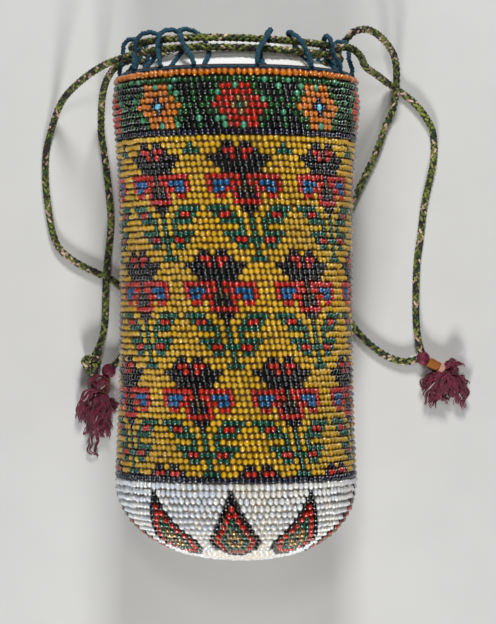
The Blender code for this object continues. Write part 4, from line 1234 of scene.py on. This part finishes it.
class BAG_OT_star_beads(bpy.types.Operator):
    """Star band: seven rounds of stars between a green and a navy round"""

    bl_idname = "bag.star_beads"
    bl_label = "Star band"

    def execute(self, context):
        rounds = STAR_ROUNDS + 2
        rows = []
        for down in range(rounds):
            y = BAND_TOP_Y - (down + 0.5) * (BAND_LENGTH / rounds)
            names = [star_colour(stitch, down) for stitch in range(BAND_STITCHES)]
            rows.append(chart_row(names, STAR_TURN, down + 0.5 - rounds / 2, y))
        place = ("star_beads", "star_band")
        bead_rows("star_band_beads", rows, 71, *place)
        levels = row_levels(rows, BAND_TOP_Y, BAND_Y + GAP)
        thread = fabric_finish("band_crochet", "ground")
        ground_shell(
            "star_band_crochet", levels, BAND_STITCHES, thread, *place, THREAD_DEPTH, rows=rows
        )
        return {"FINISHED"}


def nearest_names(row, angles):
    """The colour of the bead nearest to each angle round a round."""
    turns, names = row[:2]
    away = (angles[:, None] - np.asarray(turns)[None, :] + np.pi) % (2 * np.pi) - np.pi
    return [names[bead] for bead in np.abs(away).argmin(1)]


class BAG_OT_flower_beads(bpy.types.Operator):
    """Gold body: three rows of flowers and the top of a fourth, with a navy round at its foot"""

    bl_idname = "bag.flower_beads"
    bl_label = "Flower body"

    def execute(self, context):
        pitch = BODY_LENGTH / (BODY_ROUNDS + 1)
        place = ("gold_beads", "flower_body")
        every = []
        for number, (zone, first, last) in enumerate(BODY_ZONES):
            rows = []
            for down in range(first, last):
                names = [flower_colour(stitch, down) for stitch in range(BODY_STITCHES)]
                y = BAND_Y - (down + 0.5) * pitch
                rows.append(chart_row(names, MOTIF_TURN, down + 0.5, y))
            bead_rows(f"flower_beads_{zone}", rows, 81 + number, *place)
            every += rows
        levels = row_levels(every, BAND_Y, SEAM_Y + GAP)
        thread = fabric_finish("body_crochet", "ground")
        ground_shell(
            "flower_body_crochet", levels, BODY_STITCHES, thread, *place, THREAD_DEPTH, rows=every
        )
        return {"FINISHED"}


class BAG_OT_petal_beads(bpy.types.Operator):
    """White domed base with nine pointed petals"""

    bl_idname = "bag.petal_beads"
    bl_label = "Petal base"

    def execute(self, context):
        ys, radii, along = self.dome_profile()
        pitch = along[-1] / DOME_ROUNDS
        rows = []
        for down in range(DOME_ROUNDS):
            middle = (down + 0.5) * pitch
            places = [
                (float(np.interp(at, along, ys)), float(np.interp(at, along, radii)))
                for at in (middle - PROFILE_NUDGE, middle, middle + PROFILE_NUDGE)
            ]
            per_sector = max(1, round(STAR_STITCHES * places[1][1] / FOOT_RADIUS))
            count = per_sector * PETALS if down < DOME_ROUNDS - 2 else (7, 2)[down - DOME_ROUNDS + 2]
            petal = petal_beads(down)
            middle = (len(petal) - 1) / 2 if petal else down / 2
            turns = PETAL_TURN + 2 * np.pi * (np.arange(count) - middle) / count
            sector = petal + ["white"] * (per_sector - len(petal))
            names = [sector[bead % per_sector] for bead in range(count)]
            rows.append((turns, names, *places))
        place = ("white_beads", "petal_base")
        bead_rows("petal_base_beads", rows, 91, *place, DOME_BEAD_FAT)
        levels = [(SEAM_Y, FOOT_RADIUS), *(row[3] for row in rows[1:-1]), (TIP_Y, 0)]
        angles = circle(BODY_STITCHES)
        threads = [(angles, nearest_names(row, angles)) for row in rows]
        thread = fabric_finish("base_crochet", "pale")
        ground_shell(
            "petal_base_crochet", levels, BODY_STITCHES, thread, *place, DOME_THREAD_DEPTH, rows=threads
        )
        return {"FINISHED"}

    def dome_profile(self):
        """Places, radii and lengths along the dome's curve from the seam to the tip."""
        bends = np.linspace(0, np.pi / 2, 241)
        ys = SEAM_Y - DOME_DEPTH * np.sin(bends) ** (2 / DOME_POWER)
        radii = FOOT_RADIUS * np.cos(bends).clip(0, 1) ** (2 / DOME_POWER)
        steps = np.hypot(np.diff(ys), np.diff(radii))
        return ys, radii, np.concatenate([[0], np.cumsum(steps)])


class BAG_OT_rim(bpy.types.Operator):
    """Round of large orange beads and the crocheted thread edge on it"""

    bl_idname = "bag.rim"
    bl_label = "Rim and edge"

    def execute(self, context):
        sizes = context.scene.bag_bead_sizes
        rng = np.random.default_rng(101)
        widths = 1 + rng.normal(0, 0.05, RIM_BEADS).clip(-0.1, 0.1)
        turns = 2 * np.pi * (np.cumsum(widths) - widths / 2) / widths.sum()
        depth = RIM_BEAD / 2 + GAP
        centres = around(turns, RIM_RADIUS, RIM_Y - GAP, depth)
        before, after = (around(turns + way, RIM_RADIUS, RIM_Y, depth) for way in (-0.01, 0.01))
        along = unit(after - before)
        up = np.tile((0.0, 1.0, 0.0), (RIM_BEADS, 1))
        out = np.cross(along, up)
        strip = Strip()
        paints = np.zeros(RIM_BEADS, int)
        add_beads(strip, centres, along, up, out, widths * 1.1, paints, sizes, rng, 1.12)
        place = ("orange_beads", "rim_beads")
        strip.make("rim_bead_round", bead_finishes(["orange"]), *place)
        levels = [
            (EDGE_Y + 0.2 * MM, EDGE_RADIUS + 0.2 * MM),
            (RIM_Y, RIM_RADIUS),
            (BAND_TOP_Y - 0.8 * MM, BAND_TOP_RADIUS - 0.4 * MM),
        ]
        thread = fabric_finish("rim_crochet", "umber")
        ground_shell("rim_crochet", levels, BODY_STITCHES, thread, *place, 0.7 * MM, 1.3 * MM)
        self.thread_edge()
        return {"FINISHED"}

    def thread_edge(self):
        """Twisted thread, worked round and round on the rim."""
        turns = np.linspace(0, 2 * np.pi, 560, endpoint=False)
        line = around(turns, EDGE_RADIUS - 0.3 * MM, EDGE_Y - 0.7 * MM, MOUTH_SKIN - EDGE_RADIUS)
        line[:, 1] += 0.00012 * np.sin(turns * 90)
        out = np.stack([np.sin(turns), np.zeros(len(turns)), np.cos(turns)], 1)
        strip = Strip()
        length = lengths_along(line)[-1]
        lay = length / round(length / EDGE_LAY)
        strand_bundle(strip, line, [0, 1, 0], EDGE_COIL, EDGE_STRAND, lay, 5, 0.2, 0.0, out, True)
        strip.make("edge_crochet", teal_finishes(), "teal_thread", "thread_edge")


class BAG_OT_loops(bpy.types.Operator):
    """Crocheted loops that carry the drawstrings round the mouth"""

    bl_idname = "bag.loops"
    bl_label = "Mouth loops"

    def execute(self, context):
        strip = Strip()
        for number, (degrees, lean, opening) in enumerate(LOOPS):
            line = self.loop_line(math.radians(degrees), lean * MM, opening * MM)
            twist = number * 0.9
            strand_bundle(strip, line, [0, 0, 1], LOOP_COIL, LOOP_STRAND, LOOP_LAY, 6, 0.3, twist)
        nodes = [f"loop_{number:02d}" for number in range(1, len(LOOPS) + 1)]
        strip.make("mouth_loops", teal_finishes(), "teal_thread", *nodes)
        return {"FINISHED"}

    def loop_line(self, middle, lean, opening):
        """A loop rises outside both drawstrings, closes over them and returns inside."""
        foot_y = EDGE_Y + EDGE_THREAD / 2 + GAP
        high = cord_height(middle, UPPER_CORD_Y)
        low = cord_height(middle, LOWER_CORD_Y)

        def spot(aside, radius, y):
            tilt = lean * (max(y - foot_y, 0) / (high - foot_y)) ** 2
            return mouth_spot(middle + (aside + tilt) / CORD_RADIUS, radius, y)

        outside = CORD_RADIUS + LOOP_HALF
        inside = CORD_RADIUS - LOOP_HALF
        route = [
            spot(-LOOP_FOOT_SPREAD, EDGE_RADIUS, foot_y - MM),
            spot(-LOOP_FOOT_SPREAD - 0.2 * opening, EDGE_RADIUS, foot_y + 0.3 * (low - foot_y)),
            spot(-LOOP_FOOT_SPREAD / 2 - opening, outside, low),
            spot(-opening, outside, high),
        ]
        for share in (0.25, 0.5, 0.75):
            over = math.pi * share
            out = CORD_RADIUS + LOOP_HALF * math.cos(over)
            route.append(spot(-opening * math.cos(over), out, high + LOOP_HALF * math.sin(over)))
        route += [
            spot(opening, inside, high),
            spot(opening, inside, low),
            spot(opening * 0.6 + LOOP_FOOT_SPREAD * 0.4, CORD_RADIUS - LOOP_HALF / 4, low - LOOP_HALF),
            spot(LOOP_FOOT_SPREAD, LOOP_INNER_RADIUS, foot_y - MM),
        ]
        return evenly(catmull(route, 8), STRAND_STEP)


class BAG_OT_lining(bpy.types.Operator):
    """Cotton lining with its collar standing up out of the mouth"""

    bl_idname = "bag.lining"
    bl_label = "Cotton lining"

    def execute(self, context):
        angles = circle(LINING_COLUMNS)
        rings = self.surface(0, angles) + self.surface(LINING, angles)[::-1]
        corners = grid(len(rings), LINING_COLUMNS)
        strip = Strip()
        strip.add(np.vstack(rings), corners.ravel(), np.full(len(corners), 4))
        cloth = self.cloth_finish(context.scene.bag_threads.cotton)
        thing = strip.make("cotton_lining_cloth", [cloth], "cotton", "cotton_lining")
        return {"FINISHED"}

    def surface(self, inset, angles):
        """Rings from the pole to the collar's edge, drawn in by the inset."""
        inset += WALL + GAP
        rings = []
        for share in (0.0, 0.04, 0.1, 0.2, 0.35, 0.5, 0.65, 0.8, 0.9, 0.97):
            bend = math.pi / 2 * (1 - share)
            y = SEAM_Y - (DOME_DEPTH - inset) * math.sin(bend) ** (2 / DOME_POWER)
            radius = (FOOT_RADIUS - inset) * max(math.cos(bend), 0.004) ** (2 / DOME_POWER)
            rings.append(skin_points(angles, y, radius, inset + GAP))
        for y in np.linspace(SEAM_Y, BAND_TOP_Y - EDGE_SET_IN, 24):
            rings.append(skin_points(angles, y, skin_radius(y) - inset, inset + GAP))
        low = BAND_TOP_Y - EDGE_SET_IN
        off = np.minimum(np.abs(np.sin(angles)) / math.sin(COLLAR_HALF_ARCH), 1)
        high = RIM_Y + COLLAR_RISE * (1 - off**3)
        for step in np.linspace(0.125, 1, 8):
            y = low + (high - low) * step
            risen = np.minimum((y - low) / (RIM_Y + COLLAR_RISE - low), 1)
            radius = skin_radius(low) - COLLAR_LEAN * np.minimum(risen / 0.78, 1) ** 1.5 - inset
            for depth, waves, start in COLLAR_RIPPLES:
                radius = radius + depth * step * np.sin(angles * waves + start)
            heights = np.maximum(AXIS_HEIGHT + radius * np.cos(angles), BAND_TOP_RADIUS - radius + GAP)
            rings.append(np.stack([radius * np.sin(angles), y, heights], 1))
        return rings

    def cloth_finish(self, colour):
        """Plain weave: two crossing waves and faint stains."""
        finish = Finish("woven_cotton", 0.9, Sheen_Weight=0.25)
        place = finish.node("TexCoord").outputs["Object"]
        waves = []
        for direction in ("X", "Y"):
            wave = finish.node(
                "TexWave",
                {"Vector": place, "Scale": 500.0, "Distortion": 0.4},
                bands_direction=direction,
            )
            waves.append(wave.outputs["Fac"])
        weave = finish.node("Math", {0: waves[0], 1: waves[1]}, operation="MULTIPLY").outputs[0]
        threads = finish.ramp(weave, (0.0, shaded(colour, 0.92)), (0.6, shaded(colour, 1.06)))
        stains = finish.ramp(finish.noise(60, 4), (0.35, (0.96, 0.94, 0.9)), (0.55, 1.0))
        finish.paint(finish.product(threads, stains))
        finish.bump(weave, 0.00015, 0.6)
        return finish.material


class BAG_PT_finish(bpy.types.Panel):
    """Settings and steps of the bag's finish"""

    bl_label = "Beaded Bag"
    bl_idname = "BAG_PT_finish"
    bl_space_type = "VIEW_3D"
    bl_region_type = "UI"
    bl_category = "Beaded Bag"

    def draw(self, context):
        for title, name in GROUPS:
            box = self.layout.box()
            box.label(text=title)
            group = getattr(context.scene, name)
            for setting in group.bl_rna.properties:
                if setting.identifier not in ("rna_type", "name"):
                    box.prop(group, setting.identifier)
        for step in STEPS:
            self.layout.operator(step.bl_idname)


GROUPS = (
    ("Bead colours", "bag_bead_colours"),
    ("Bead sizes", "bag_bead_sizes"),
    ("Threads", "bag_threads"),
    ("Braid", "bag_braid"),
    ("Stage", "bag_stage"),
)
SETTINGS = (BeadColours, BeadSizes, ThreadLooks, BraidLooks, StageLooks)
STEPS = (
    BAG_OT_stage,
    BAG_OT_cord_ends,
    BAG_OT_drawstrings,
    BAG_OT_star_beads,
    BAG_OT_flower_beads,
    BAG_OT_petal_beads,
    BAG_OT_rim,
    BAG_OT_loops,
    BAG_OT_lining,
)


def register():
    for kind in (*SETTINGS, *STEPS, BAG_PT_finish):
        bpy.utils.register_class(kind)
    for kind, (_, name) in zip(SETTINGS, GROUPS):
        setattr(bpy.types.Scene, name, PointerProperty(type=kind))


def unregister():
    for _, name in GROUPS:
        delattr(bpy.types.Scene, name)
    for kind in reversed((*SETTINGS, *STEPS, BAG_PT_finish)):
        bpy.utils.unregister_class(kind)


def main():
    register()
    for step in STEPS:
        group, name = step.bl_idname.split(".")
        getattr(getattr(bpy.ops, group), name)()


if __name__ == "__main__":
    main()
